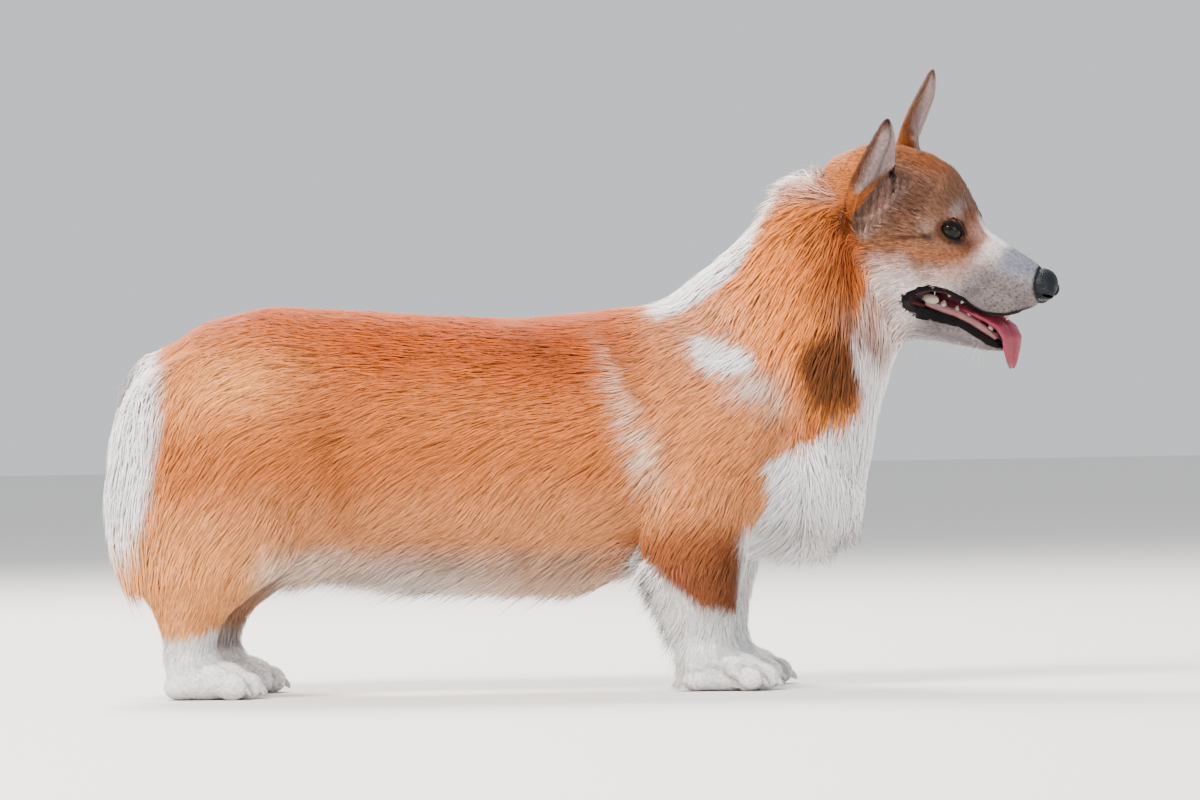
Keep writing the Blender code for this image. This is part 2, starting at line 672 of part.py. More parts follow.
def long_hair(body):
    """Every lock of the ruff, chest, belly, breeches and elbows, set on the fused body."""
    bm = bmesh.new()
    bm.from_mesh(body.data)
    tree = BVHTree.FromBMesh(bm)
    bm.free()
    draw = random.Random(7)
    locks = []

    def plant(start, aim, lie, size, scale=1.0):
        hit, normal, _, _ = tree.ray_cast(Vector(start) * MM, Vector(aim), SEEK * MM)
        if hit is None or (hit - millimetres(TAIL_END)).length < TAIL_CLEAR * MM:
            return
        jitter = Vector((0, draw.uniform(-0.18, 0.18), draw.uniform(-0.1, 0.1)))
        reach = size["reach"] * scale * draw.uniform(0.85, 1.15)
        width = size["width"] * draw.uniform(0.85, 1.1)
        locks.append(lock(tree, hit / MM, normal, Vector(lie) + jitter, reach, width, size["lift"],
                          draw.uniform(-4, 4), size["cling"]))

    for form in LONG_HAIR.values():
        for row in range(form["rows"]):
            for column in range(form["columns"]):
                place = spread(form["span"], row, form["rows"])
                y = spread(form["across"], column + 0.5 * (row % 2) - 0.25, form["columns"])
                start = (form["start"], y, place) if form["aim"][0] else (place, y, form["start"])
                x_lie, y_lie, z_lie = form["lie"]
                plant(start, form["aim"], (x_lie, y_lie + y / HAIR_SPLAY, z_lie), form)
    for sign in SIDE.values():
        for row in range(FRINGE["rows"]):
            for column in range(FRINGE["columns"]):
                x = spread(FRINGE["x"], column + 0.4 * row, FRINGE["columns"])
                z = spread(FRINGE["z"], row, FRINGE["rows"])
                hang = math.exp(-((x - FRINGE_HANG["x"]) / FRINGE_HANG["width"]) ** 2)
                longer = FRINGE_HANG["least"] + FRINGE_HANG["more"] * hang
                plant((x, sign * BESIDE, z), (0, -sign, 0), FRINGE["lie"], FRINGE, longer)
        for index in range(FEATHERS["count"]):
            z = spread(FEATHERS["z"], index, FEATHERS["count"])
            start = (BEHIND_ELBOW, sign * FEATHERS["y"][index % 2], z)
            plant(start, (1, 0, 0), FEATHERS["lie"], FEATHERS)
    for row in range(RUFF["rows"]):
        x1, z1, x2, z2, _ = NECK[row + 1]
        axis = Vector((x1 - x2, 0, z1 - z2)).normalized()
        middle = Vector((x1, 0, z1)).lerp(Vector((x2, 0, z2)), RUFF["centre"])
        down_neck = Vector((-axis.z, 0, axis.x))
        for column in range(RUFF["columns"]):
            turn = math.radians(spread(RUFF["turn"], column + 0.5 * (row % 2) - 0.25, RUFF["columns"]))
            out = axis * math.cos(turn) + Vector((0, math.sin(turn), 0))
            lie = down_neck + Vector((0, 0, -RUFF["drop"] * abs(math.sin(turn))))
            scale = RUFF_NAPE["scale"] if abs(turn) < RUFF_NAPE["turn"] else 1.0
            plant(middle + out * BESIDE, -out, lie, RUFF, scale)
    return locks


def leg_region(table, side, lead, grow=0.0):
    return loft("region", limb_rings(table, side, lead), 20, grow=grow)


def cut_plane(ends):
    """The upper end of a cut across the body, and the way ahead of it."""
    (x1, z1), (x2, z2) = ends
    along = Vector((x2 - x1, 0, z2 - z1)).normalized()
    return Vector((x1, 0, z1)), Vector((-along.z, 0, along.x))


def build_body(frame):
    """Torso, neck and legs, modelled whole and parted with thin cuts."""
    forms = [torso_loft(), neck_loft(), *skull_forms(frame)]
    for side in SIDE:
        forms += leg_lofts(side) + muscle_balls(side)
    body = fuse("body", forms, BODY_VOXEL, 4, BODY_TRIANGLES)
    core = copy_of(body, "core")
    combine(body, "UNION", long_hair(body))
    neck = copy_of(body, "neck")
    top, ahead = cut_plane(NECK_CUT)
    slice_off(body, (top - ahead * GAP / 2) * MM, ahead)
    slice_off(neck, (top + ahead * GAP / 2) * MM, -ahead)
    top, ahead = cut_plane(HEAD_CUT)
    slice_off(neck, (top - ahead * GAP / 2) * MM, ahead)
    regions = []
    for side in SIDE:
        for name, table, lead in (("foreleg_", FORELEG_REGION, FORE_LEAD),
                                  ("hindleg_", HINDLEG_REGION, HIND_LEAD)):
            leg = copy_of(body, name + side)
            combine(leg, "INTERSECT", [leg_region(table, side, lead[side])])
            slice_off(leg, Vector((0, 0, PAW_CUT + GAP / 2)) * MM, Vector((0, 0, -1)))
            named(leg, name + side, "red_coat")
            regions.append(leg_region(table, side, lead[side], GAP))
    for region in regions:
        combine(body, "DIFFERENCE", [region])
    named(body, "torso", "red_coat")
    named(neck, "neck", "red_coat")
    return core


TAIL = [(-268, 262, -276, 238, 13), (-290, 259, -294, 236, 14), (-312, 248, -310, 226, 13),
        (-326, 234, -318, 218, 10), (-333, 222, -326, 212, 5)]


def build_tail(core):
    """The bobbed tail, set on the rump's surface."""
    tail = loft("tail", [(x1, z1, x2, z2, 0, half, 0) for x1, z1, x2, z2, half in TAIL], 14)
    combine(tail, "DIFFERENCE", [grown(core)])
    remove(core)
    return named(tail, "tail", "red_coat")


def stand_on_origin():
    """Moves the whole dog level, so that the middle of its box stands over the origin."""
    corners = [vert.co for obj in bpy.data.objects for vert in obj.data.vertices]
    middle = [(min(c[axis] for c in corners) + max(c[axis] for c in corners)) / 2 for axis in (0, 1)]
    for obj in bpy.data.objects:
        obj.data.transform(Matrix.Translation((-middle[0], -middle[1], 0)))


def main():
    for obj in list(bpy.data.objects):
        remove(obj)
    head, jaw, frame = build_head()
    build_nose(head, frame)
    build_tongue(head, jaw, frame)
    for side, eye in eye_pair(frame).items():
        named(eye, "eye_" + side, "eye")
    for side in SIDE:
        build_ear(side, head, frame)
        build_paw("forepaw_" + side, side, FOREPAW, FORE_LEAD[side], FORELEG)
        build_paw("hindpaw_" + side, side, HINDPAW, HIND_LEAD[side], HINDLEG)
    build_tail(build_body(frame))
    stand_on_origin()


main()
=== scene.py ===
import math

import bmesh
import bpy
import numpy as np
from mathutils import Euler, Matrix, Quaternion, Vector, kdtree
from mathutils.bvhtree import BVHTree


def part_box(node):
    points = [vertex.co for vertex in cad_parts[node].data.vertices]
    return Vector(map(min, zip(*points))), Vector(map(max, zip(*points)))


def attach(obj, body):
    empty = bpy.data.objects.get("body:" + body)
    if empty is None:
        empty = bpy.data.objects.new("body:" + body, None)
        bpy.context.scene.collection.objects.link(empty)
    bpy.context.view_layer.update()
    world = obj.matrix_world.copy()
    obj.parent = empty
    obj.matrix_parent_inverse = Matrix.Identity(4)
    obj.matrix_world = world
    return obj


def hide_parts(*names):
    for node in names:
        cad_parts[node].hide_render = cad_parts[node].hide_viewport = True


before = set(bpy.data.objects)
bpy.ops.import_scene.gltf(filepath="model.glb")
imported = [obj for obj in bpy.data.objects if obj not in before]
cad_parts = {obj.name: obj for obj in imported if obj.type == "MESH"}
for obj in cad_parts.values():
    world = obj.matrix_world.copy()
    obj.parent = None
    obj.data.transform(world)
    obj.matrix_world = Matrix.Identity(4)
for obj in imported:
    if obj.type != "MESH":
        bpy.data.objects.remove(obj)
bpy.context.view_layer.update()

mm = 0.001  # every size below is in millimetres in the dog's own frame
sides = {"left": 1, "right": -1}
foreLead = {"left": 13, "right": 0}
hindLead = {"left": 11, "right": 0}
headPivot = np.array([215.0, 0.0, 320.0])
headTurn = Euler((math.radians(10), math.radians(20), math.radians(-12)), "XYZ").to_matrix()
headAxes = np.array(headTurn)
headFrame = Matrix.Translation(Vector(headPivot) * mm) @ headTurn.to_4x4()

torsoRings = [  # x, top, underside, half width, fullness
    (-332, 196, 138, 34, 0), (-323, 224, 112, 58, 0), (-304, 249, 97, 73, 0), (-273, 270, 90, 82, 0),
    (-225, 281, 88, 87, .05), (-165, 277, 92, 83, .05), (-100, 272, 84, 85, .02), (-45, 269, 81, 90, 0),
    (5, 273, 79, 93, 0), (50, 278, 81, 93, 0), (95, 276, 85, 89, 0), (133, 262, 96, 80, 0),
    (165, 240, 108, 66, 0), (187, 215, 123, 47, 0), (199, 187, 146, 22, 0)]
neckRings = [  # nape point, throat point, half width
    (22, 260, 184, 120, 75), (65, 282, 200, 144, 72), (99, 307, 207, 179, 66), (131, 336, 213, 207, 61),
    (156, 361, 223, 232, 57), (182, 375, 237, 250, 54), (205, 380, 250, 262, 48)]
forelegRings = [  # height, back, front, centre from the middle, half width
    (190, 30, 128, 50, 34), (150, 32, 126, 60, 34), (112, 36, 118, 63, 33), (86, 42, 113, 61, 28),
    (62, 53, 108, 57, 23), (44, 62, 105, 54, 20), (30, 64, 107, 53, 21), (16, 66, 110, 53, 21)]
hindlegRings = [
    (205, -330, -205, 40, 36), (160, -337, -194, 50, 39), (122, -337, -193, 53, 37), (98, -332, -205, 54, 33),
    (78, -319, -230, 54, 27), (60, -308, -254, 54, 21), (42, -303, -263, 54, 18), (28, -302, -260, 54, 18),
    (14, -300, -256, 54, 18)]
skullRings = [  # in the head's frame: x, top, underside, half width, fullness
    (-52, 46, -30, 38, 0), (-32, 63, -40, 50, 0), (-8, 71, -43, 55, -.02), (16, 72.5, -40, 55, -.04),
    (36, 68, -34, 51, -.05), (50, 57, -30, 44, -.06), (62, 44, -27, 36, -.1), (73, 33, -25, 28, -.12),
    (88, 28.5, -25, 23.5, -.1), (103, 25, -21, 21.5, -.06), (116, 20.5, -15, 18, 0), (124, 15, -8, 12, 0)]
jawRings = [
    (-25, -10, -64, 40, 0), (5, -16, -70, 40, 0), (28, -22, -68, 36, 0), (45, -27, -61, 29, 0),
    (62, -29, -57, 22.5, 0), (80, -31.5, -54.5, 18.5, 0), (96, -36, -52, 15.5, 0), (108, -39, -49, 11.5, 0),
    (113, -41, -46, 6, 0)]
mouthLine = [  # x, upper lip, lower lip
    (38, -23.8, -26.2), (43, -19, -28.5), (52, -15.5, -30.5), (62, -15, -30.8), (77, -19.5, -32),
    (91, -22.5, -35.5), (104, -20, -39.5), (118, -12, -41), (140, -6, -46)]
tailRings = [(-268, 262, -276, 238, 13), (-290, 259, -294, 236, 14), (-312, 248, -310, 226, 13),
             (-326, 234, -318, 218, 10), (-333, 222, -326, 212, 5)]
tongueRings = [  # x, z, sideways, half width, half thickness
    (52, -26, 0, 11, 2.5), (66, -25, 0, 13, 3.2), (84, -26, -1, 14, 3.6), (98, -27, -2, 14, 3.6),
    (108, -29.5, -3, 13.5, 3.4), (115, -35, -4, 12.5, 3), (118.2, -43.5, -5, 10.5, 2.5),
    (121.5, -52, -6, 6.5, 2.1), (123, -57, -6, 3, 1.5)]
tongueSkew = Matrix(((1, .38, 0, 0), (0, 1, 0, 0), (0, 0, 1, 0), (0, 0, 0, 1)))
eye = {"centre": (51, 29, 29.5), "radius": 10.2, "gaze": (.42, .9, .06)}
ear = {"root": (-4, 49, 37), "tip": {"left": (-11, 72, 118), "right": (-6, 84, 100)}, "wall": 3.4,
       "facing": {"left": (.98, .02, 0), "right": (.965, .25, 0)}, "rootLine": (-.3, .35, -.88),
       "profile": [(0, 27, 13), (.2, 26, 13), (.42, 22.5, 11), (.64, 17, 8.5), (.84, 10, 5.5), (1, 3.5, 2.4)],
       "segments": 32, "thinnest": .8, "curl": .012}
paws = {"fore": {"x": 98, "y": 53, "turn": 5, "lead": foreLead},
        "hind": {"x": -269, "y": 54, "turn": 3, "lead": hindLead}}
pawForms = [((0, 0, 13.5), (30, 21, 16)), ((-18, 0, 9), (16, 17, 11))]  # centre, radii
toes = [(-16.5, 29), (-5.8, 38), (5.8, 38), (16.5, 29)]  # sideways, reach of the tip
toeForms = [  # back from the tip, spread, height, radii, slope, turn by the place sideways
    (12, 1.06, 9.6, (12.5, 7.4, 11), 14, .5), (23, 1, 15, (13, 6.8, 10.5), 18, 0)]
muscles = [((92, 56, 172), (56, 38, 76), 24), ((-262, 50, 168), (72, 39, 84), -10)]  # centre, radii, slope
headSwells = [  # centre, radii, slope, turn
    ((14, 38, -12), (38, 21, 30), 0, -12), ((46, 21, 43), (15, 13, 7.5), 24, 20),
    ((48, 32, 10), (24, 10, 9), 5, -28), ((92, 13, -10), (25, 11.5, 14), 0, -4),
    (eye["centre"], (11.9, 11.6, 11.4), 0, 0)]
headCut = ((160, 392), (236, 236))
neckCut = ((62, 292), (207, 148))
napeCut = ((40, 300), (200, 420))


def onSide(spot, sign):
    return spot[0], sign * spot[1], spot[2]


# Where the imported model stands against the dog's own frame
eyeLow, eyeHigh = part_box("eye_right")
eyeSpot = headFrame @ (Vector(onSide(eye["centre"], -1)) * mm)
shift = (eyeLow + eyeHigh) / 2 - eyeSpot
shift.z = 0
print("frame offset", [round(v * 1000, 2) for v in shift])


def ramp(value, start, end):
    t = np.clip((np.asarray(value, float) - start) / (end - start), 0, 1)
    return t * t * (3 - 2 * t)


def mix(base, target, weight):
    return base + (target - base) * weight[:, None]


def band(value, start, full, fade, end):  # 0 outside, and 1 from full to fade
    return ramp(value, start, full) * ramp(value, end, fade)


def toHead(points):
    return (points - headPivot) @ headAxes


def earLines(side):  # root, tip, axis, the way the cup opens, and across it, for a left ear
    root, tip = np.array(ear["root"], float), np.array(ear["tip"][side], float)
    axis = (tip - root) / np.linalg.norm(tip - root)
    facing = np.array(ear["facing"][side]) - axis * (np.array(ear["facing"][side]) @ axis)
    facing /= np.linalg.norm(facing)
    return root, tip, axis, facing, np.cross(axis, facing)


def aheadOf(cut, points):
    (x1, z1), (x2, z2) = cut
    length = math.hypot(x2 - x1, z2 - z1)
    return (points[:, 0] - x1) * -(z2 - z1) / length + (points[:, 2] - z1) * (x2 - x1) / length


def wander(points, size, seed):
    draw = np.random.default_rng(seed)
    total = np.zeros(len(points))
    for octave in range(6):
        way = draw.normal(size=3)
        way /= np.linalg.norm(way)
        total += np.sin(points @ way * 6.28 / (size * draw.uniform(.6, 1.5)) + draw.uniform(0, 6.28))
    return total / 3.5


# Making of meshes
def addThing(name, data):
    made = bpy.data.objects.new(name, data)
    bpy.context.collection.objects.link(made)
    return made


def addObject(name, bm):
    bmesh.ops.recalc_face_normals(bm, faces=bm.faces)
    mesh = bpy.data.meshes.new(name)
    bm.to_mesh(mesh)
    bm.free()
    mesh.shade_smooth()
    return addThing(name, mesh)


def addRing(bm, segments, place, spotOf):  # a circle with its points moved to where spotOf puts them
    made = bmesh.ops.create_circle(bm, segments=segments, radius=1)
    for vert in made["verts"]:
        vert.co = place @ (spotOf(vert.co.x, vert.co.y) * mm)
    return sorted({e for v in made["verts"] for e in v.link_edges}, key=lambda e: e.index)


def joinRings(bm, loops, segments, name, closed=False):
    for first, second in list(zip(loops, loops[1:])) + [(loops[-1], loops[0])] * closed:
        bmesh.ops.bridge_loops(bm, edges=first + second)
    if not closed:
        bmesh.ops.holes_fill(bm, edges=loops[0] + loops[-1], sides=segments)
    return addObject(name, bm)


def loft(rings, segments=32, place=Matrix.Identity(4)):
    bm = bmesh.new()
    loops = []
    for x1, z1, x2, z2, y, half, fullness in rings:
        middle = Vector(((x1 + x2) / 2, y, (z1 + z2) / 2))
        axis = Vector((x1 - x2, 0, z1 - z2))
        reach = axis.length / 2
        axis.normalize()
        loops.append(addRing(bm, segments, place, lambda across, along: (
            middle + axis * along * reach + Vector((0, across * half * (1 + fullness * along), 0)))))
    return joinRings(bm, loops, segments, "form")


def ball(centre, radii, turn=(0, 0, 0), place=Matrix.Identity(4), detail=(28, 18), name="form"):
    bm = bmesh.new()
    bmesh.ops.create_uvsphere(bm, u_segments=detail[0], v_segments=detail[1], radius=1)
    turned = Euler([math.radians(a) for a in turn]).to_matrix().to_4x4()
    size = Matrix.Diagonal((*(Vector(radii) * mm), 1))
    spot = Matrix.Translation(Vector(centre) * mm)
    bmesh.ops.transform(bm, matrix=place @ spot @ turned @ size, verts=bm.verts)
    return addObject(name, bm)


def tube(points, radii, place=Matrix.Identity(4), segments=10, closed=False, flat=1.0, name="tube"):
    bm = bmesh.new()
    loops = []
    count = len(points)
    points = [Vector(p) for p in points]
    for index, (point, radius) in enumerate(zip(points, radii)):
        before = points[(index - 1) % count] if closed else points[max(index - 1, 0)]
        after = points[(index + 1) % count] if closed else points[min(index + 1, count - 1)]
        turn = (after - before).to_track_quat("Z", "Y").to_matrix()
        loops.append(addRing(bm, segments, place, lambda across, along: (
            point + turn @ Vector((across * flat, along, 0)) * radius)))
    return joinRings(bm, loops, segments, name, closed)


def bake(made):
    bpy.context.view_layer.update()
    mesh = bpy.data.meshes.new_from_object(made.evaluated_get(bpy.context.evaluated_depsgraph_get()))
    made.modifiers.clear()
    made.data = mesh
    return made


def joined(pieces, name):
    bm = bmesh.new()
    for piece in pieces:
        bm.from_mesh(piece.data)
        bpy.data.objects.remove(piece)
    return addObject(name, bm)


def fuse(pieces, name, voxel, smoothing):
    made = joined(pieces, name)
    melt = made.modifiers.new("melt", "REMESH")
    melt.mode = "VOXEL"
    melt.voxel_size = voxel * mm
    melt.adaptivity = 0
    relax = made.modifiers.new("relax", "SMOOTH")
    relax.factor = .5
    relax.iterations = smoothing
    return bake(made)


def cut(made, tools, solver="MANIFOLD", operation="DIFFERENCE"):
    for tool in tools:
        step = made.modifiers.new("cut", "BOOLEAN")
        step.operation = operation
        step.object = tool
        step.solver = solver
        bake(made)
        bpy.data.objects.remove(tool)
    return made


def fetch(items, field, width, kind=np.float32):
    values = np.empty(len(items) * width, kind)
    items.foreach_get(field, values)
    return values.reshape(-1, width)


def coordinates(mesh):
    return fetch(mesh.vertices, "co", 3).astype(float) / mm


def normalsOf(mesh):
    return fetch(mesh.vertex_normals, "vector", 3).astype(float)


def movePoints(mesh, points):
    mesh.vertices.foreach_set("co", (points * mm).astype(np.float32).ravel())
    mesh.update()


def paintPoints(mesh, name, colours):
    layer = mesh.color_attributes.new(name, "FLOAT_COLOR", "POINT")
    values = np.ones((len(colours), 4), np.float32)
    values[:, :3] = np.clip(colours, 0, 1)
    layer.data.foreach_set("color", values.ravel())


def finish(made, name):
    made.data.materials.clear()
    made.data.materials.append(finishes[name])
    made.data.shade_smooth()
    return made


def settle(made, nodes=()):
    made.data.transform(Matrix.Translation(shift))
    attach(made, "root")
    if nodes:
        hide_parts(*nodes)
    return made


# Shared shader groups
def setInputs(node, **values):
    for label, value in values.items():
        node.inputs[label.replace("_", " ")].default_value = value
    return node


def addNode(nodes, kind, operation=None, tree=None, **values):
    node = nodes.new("ShaderNode" + kind)
    if operation:
        node.operation = operation
    if tree:
        node.node_tree = tree
    return setInputs(node, **values)


def makeGroup(name, inputs, label, kind):  # label and kind are those of its one output
    group = bpy.data.node_groups.new(name, "ShaderNodeTree")
    for entry, sort, value in inputs:
        socket = group.interface.new_socket(entry, in_out="INPUT", socket_type="NodeSocket" + sort)
        socket.default_value = value
    group.interface.new_socket(label, in_out="OUTPUT", socket_type="NodeSocket" + kind)
    return group, group.nodes.new("NodeGroupInput"), group.nodes.new("NodeGroupOutput")


def makeMottle():  # a colour made darker and lighter in soft blotches
    inputs = [("Colour", "Color", (1, 1, 1, 1)), ("Scale", "Float", 40), ("Amount", "Float", .3)]
    group, start, end = makeGroup("mottle", inputs, "Colour", "Color")
    nodes = group.nodes
    place = addNode(nodes, "TexCoord")
    noise = addNode(nodes, "TexNoise", Detail=5)
    spread = addNode(nodes, "MapRange", From_Min=.3, From_Max=.7)
    dim = addNode(nodes, "Math", "MULTIPLY")
    keep = addNode(nodes, "Math", "SUBTRACT")
    keep.inputs[0].default_value = 1
    mixed = addNode(nodes, "VectorMath", "SCALE")
    for source, target in [
            (place.outputs["Object"], noise.inputs["Vector"]),
            (start.outputs["Scale"], noise.inputs["Scale"]),
            (noise.outputs["Fac"], spread.inputs["Value"]), (spread.outputs["Result"], dim.inputs[0]),
            (start.outputs["Amount"], dim.inputs[1]), (dim.outputs[0], keep.inputs[1]),
            (start.outputs["Colour"], mixed.inputs[0]), (keep.outputs[0], mixed.inputs["Scale"]),
            (mixed.outputs["Vector"], end.inputs["Colour"])]:
        group.links.new(source, target)
    return group


def makePebbles():  # small raised cells, as on a nose or a tongue
    inputs = [("Scale", "Float", 900), ("Strength", "Float", .5)]
    group, start, end = makeGroup("pebbles", inputs, "Normal", "Vector")
    place = addNode(group.nodes, "TexCoord")
    cells = addNode(group.nodes, "TexVoronoi")
    cells.feature = "SMOOTH_F1"
    bump = addNode(group.nodes, "Bump", Distance=.0006)
    bump.invert = True
    for source, target in [
            (place.outputs["Object"], cells.inputs["Vector"]),
            (start.outputs["Scale"], cells.inputs["Scale"]),
            (cells.outputs["Distance"], bump.inputs["Height"]),
            (start.outputs["Strength"], bump.inputs["Strength"]),
            (bump.outputs["Normal"], end.inputs["Normal"])]:
        group.links.new(source, target)
    return group


mottle, pebbles = makeMottle(), makePebbles()


def makeFinish(name, colour=None, attribute=None, roughness=.6, scale=60, amount=.25, bumps=None, **sockets):
    made = bpy.data.materials.new(name)
    made.use_nodes = True
    nodes, link = made.node_tree.nodes, made.node_tree.links.new
    shader = setInputs(nodes["Principled BSDF"], Roughness=roughness, **sockets)
    tone = addNode(nodes, "Group", tree=mottle, Scale=scale, Amount=amount)
    if attribute:
        source = addNode(nodes, "Attribute")
        source.attribute_name = attribute
        link(source.outputs["Color"], tone.inputs["Colour"])
    else:
        setInputs(tone, Colour=(*colour, 1))
    link(tone.outputs["Colour"], shader.inputs["Base Color"])
    if bumps:
        grain = addNode(nodes, "Group", tree=pebbles, Scale=bumps[0], Strength=bumps[1])
        link(grain.outputs["Normal"], shader.inputs["Normal"])
    return made


finishes = {
    "coat": makeFinish("coatHair", attribute="coatColour", roughness=.66, scale=260, amount=.22,
                       Specular_IOR_Level=.12, Sheen_Weight=.04, Sheen_Roughness=.45),
    "skin": makeFinish("skinUnderCoat", attribute="coatColour", roughness=.8, scale=420, amount=.45,
                       bumps=(1400, .6), Specular_IOR_Level=.1),
    "nose": makeFinish("noseLeather", (.006, .008, .013), roughness=.5, scale=300, amount=.5, bumps=(900, .8),
                       Coat_Weight=.03, Coat_Roughness=.4, Specular_IOR_Level=.16),
    "lips": makeFinish("lipSkin", (.0035, .0028, .003), roughness=.45, scale=200, amount=.4,
                       bumps=(1300, .35),
                       Coat_Weight=.02, Coat_Roughness=.25, Specular_IOR_Level=.05),
    # tongue colour: its own deep pink, darkened with painted shade
    "tongue": makeFinish("tongueFlesh", (.20, .020, .042), roughness=.36, scale=160, amount=.35,
                         bumps=(1500, .5),
                         Coat_Weight=.15, Coat_Roughness=.2, Specular_IOR_Level=.3, Subsurface_Weight=.1),
    "gums": makeFinish("gumFlesh", (.19, .055, .06), roughness=.3, scale=140, amount=.5, bumps=(700, .25),
                       Coat_Weight=.4, Coat_Roughness=.15),
    # tooth colour: its own beige, darkened with painted shade inside the mouth
    "teeth": makeFinish("toothEnamel", (.34, .28, .22), roughness=.22, scale=200, amount=.2, Coat_Weight=.4),
    "claws": makeFinish("clawHorn", (.60, .55, .52), roughness=.35, scale=220, amount=.5),
    "eye": makeFinish("eyeSurface", attribute="eyeColour", roughness=.06, scale=500, amount=.15,
                      Coat_Weight=.08, Coat_Roughness=.02, Specular_IOR_Level=.12),
    "whiskers": makeFinish("whiskerHair", (.5, .46, .43), roughness=.4, amount=.1),
}


# Forms of the body
def limb(table, side, lead):
    sign = sides[side]
    return loft([(back + lead, z, front + lead, z, sign * y, half, 0) for z, back, front, y, half in table])


def pawPlaces(side):
    for paw in paws.values():
        turn = Matrix.Rotation(math.radians(sides[side] * paw["turn"]), 4, "Z")
        spot = Vector((paw["x"] + paw["lead"][side], sides[side] * paw["y"], 0))
        yield Matrix.Translation(spot * mm) @ turn


def bodyForms():
    forms = [loft([(x, top, x, low, 0, half, full) for x, top, low, half, full in torsoRings]),
             loft([(x1, z1, x2, z2, 0, half, -.04) for x1, z1, x2, z2, half in neckRings]),
             loft([(x1, z1, x2, z2, 0, half, 0) for x1, z1, x2, z2, half in tailRings])]
    for side, sign in sides.items():
        forms += [limb(forelegRings, side, foreLead[side]), limb(hindlegRings, side, hindLead[side])]
        forms += [ball(onSide(centre, sign), radii, (0, slope, 0)) for centre, radii, slope in muscles]
        for place in pawPlaces(side):
            forms += [ball(centre, radii, place=place) for centre, radii in pawForms]
            for y, tip in toes:
                for back, spread, z, radii, slope, turn in toeForms:
                    forms.append(ball((tip - back, y * spread, z), radii, (0, slope, y * turn), place))
    return forms


def headForms():
    forms = [loft([(x, top, x, low, 0, half, full) for x, top, low, half, full in table], place=headFrame)
             for table in (skullRings, jawRings)]
    for sign in sides.values():
        for centre, radii, slope, turn in headSwells:
            forms.append(ball(onSide(centre, sign), radii, (0, slope, sign * turn), headFrame))
    return forms


def earShell(side, inset, slide, start):
    root, tip, axis, facing, square = (Vector(v) for v in earLines(side))
    bm = bmesh.new()
    loops = []
    for share, half, depth in ear["profile"]:
        centre = root.lerp(tip, start + share * (1 - start)) + facing * slide
        across = Vector(ear["rootLine"]).lerp(square, min(share * 2, 1)).normalized()

        def spotOf(x, y):
            wide, deep = x * max(half - inset, ear["thinnest"]), y * max(depth - inset, ear["thinnest"])
            spot = centre + across * wide + facing * (deep - ear["curl"] * wide * wide)
            return Vector((spot.x, sides[side] * spot.y, spot.z))

        loops.append(addRing(bm, ear["segments"], headFrame, spotOf))
    return joinRings(bm, loops, ear["segments"], "ear")


def eyeFrame(sign):
    gaze = headTurn @ Vector(onSide(eye["gaze"], sign)).normalized()
    centre = headFrame @ (Vector(onSide(eye["centre"], sign)) * mm)
    up = headTurn @ Vector((.18, 0, 1))
    right = gaze.cross(up).normalized()
    up = right.cross(gaze)
    turn = Matrix((right, up, gaze)).transposed().to_4x4()  # x across, y up, z along the gaze
    return Matrix.Translation(centre) @ turn


# How deep the skin lies, and how the hair on it grows
def zones(p):
    x, y, z = p.T
    side = np.abs(y)
    q = toHead(p)
    head = ramp(aheadOf(headCut, p), -8, 8)
    neck = ramp(aheadOf(neckCut, p), -16, 16) * (1 - head)
    ears, bowl = np.zeros(len(p)), np.zeros(len(p))
    rootLine = np.array(ear["rootLine"])
    for name, sign in sides.items():
        root, tip, axis, facing, across = earLines(name)
        local = (q * [1, sign, 1]) - root
        along = local @ axis
        away = np.linalg.norm(local - along[:, None] * axis, axis=1)
        ears = np.maximum(ears, ramp(along, 12, 22) * ramp(away, 34, 28) * (local[:, 1] > -30))
        down = local @ rootLine
        off = np.linalg.norm(local - down[:, None] * rootLine - facing * 6, axis=1)
        bowl = np.maximum(bowl, ramp(off, 13, 9) * band(down, -28, -22, 25, 31) * (1 - ears))
    ears *= ramp(aheadOf(headCut, p), -30, -20)
    fore = band(x, 14, 30, 132, 152)
    leg = ramp(z, 108, 84) * (fore + ramp(x, -185, -205)) * ramp(side, 14, 26)
    u, v, w = q[:, 0], np.abs(q[:, 1]), q[:, 2]
    fromEye = ((np.stack([u, v, w], 1) - np.array(eye["centre"])) ** 2).sum(1)
    share, inMouth, half = insideMouth(q)
    lead = np.where(y > 0, foreLead["left"], foreLead["right"])
    legBack = np.interp(z, [44, 62, 86, 112], [62, 53, 42, 36]) + lead
    elbow = ramp(x, 10, 22) * band(z, 36, 50, 94, 106) * ramp(side, 22, 32)
    trunk = (1 - neck) * (1 - head)
    return {
        "q": q, "head": head, "neck": neck, "ears": ears, "leg": leg, "paw": ramp(z, 38, 26),
        "bowl": bowl * head, "feather": ramp(x - legBack, 16, 6) * elbow,
        "heel": ramp(x - lead, 76, 66) * fore * band(z, 3, 7, 34, 46),
        "foreFront": ramp(x - lead + 8 * (y > 0), 105, 112) * fore,
        "muzzle": head * ramp(u, 52, 70), "cheek": head * ramp(w, 14, -12) * ramp(u, 42, 14),
        "eyeRing": head * np.exp(-np.maximum(fromEye - 120, 0) / 120),
        "lipEdge": head * inMouth * ramp((share - 1) * half, 7, 3) + head * ramp(u, 104, 114),
        "breech": ramp(x, -285, -315) * ramp(z, 75, 100) * (1 - head),
        "chest": ramp(x, 135, 165) * ramp(z, 80, 100) * trunk,
        "napeTop": ramp(z, 338, 356) * (1 - ramp(aheadOf(napeCut, p), -40, -70)) * (1 - ears),
        "fringe": np.exp(-((x + 110) / 48) ** 2) * ramp(z, 96, 84) * (1 - leg),
        "belly": ramp(z, 122, 98) * (1 - leg) * band(x, -215, -190, 20, 60),
        "shoulder": band(x, 20, 60, 130, 160) * ramp(z, 95, 130) * trunk}


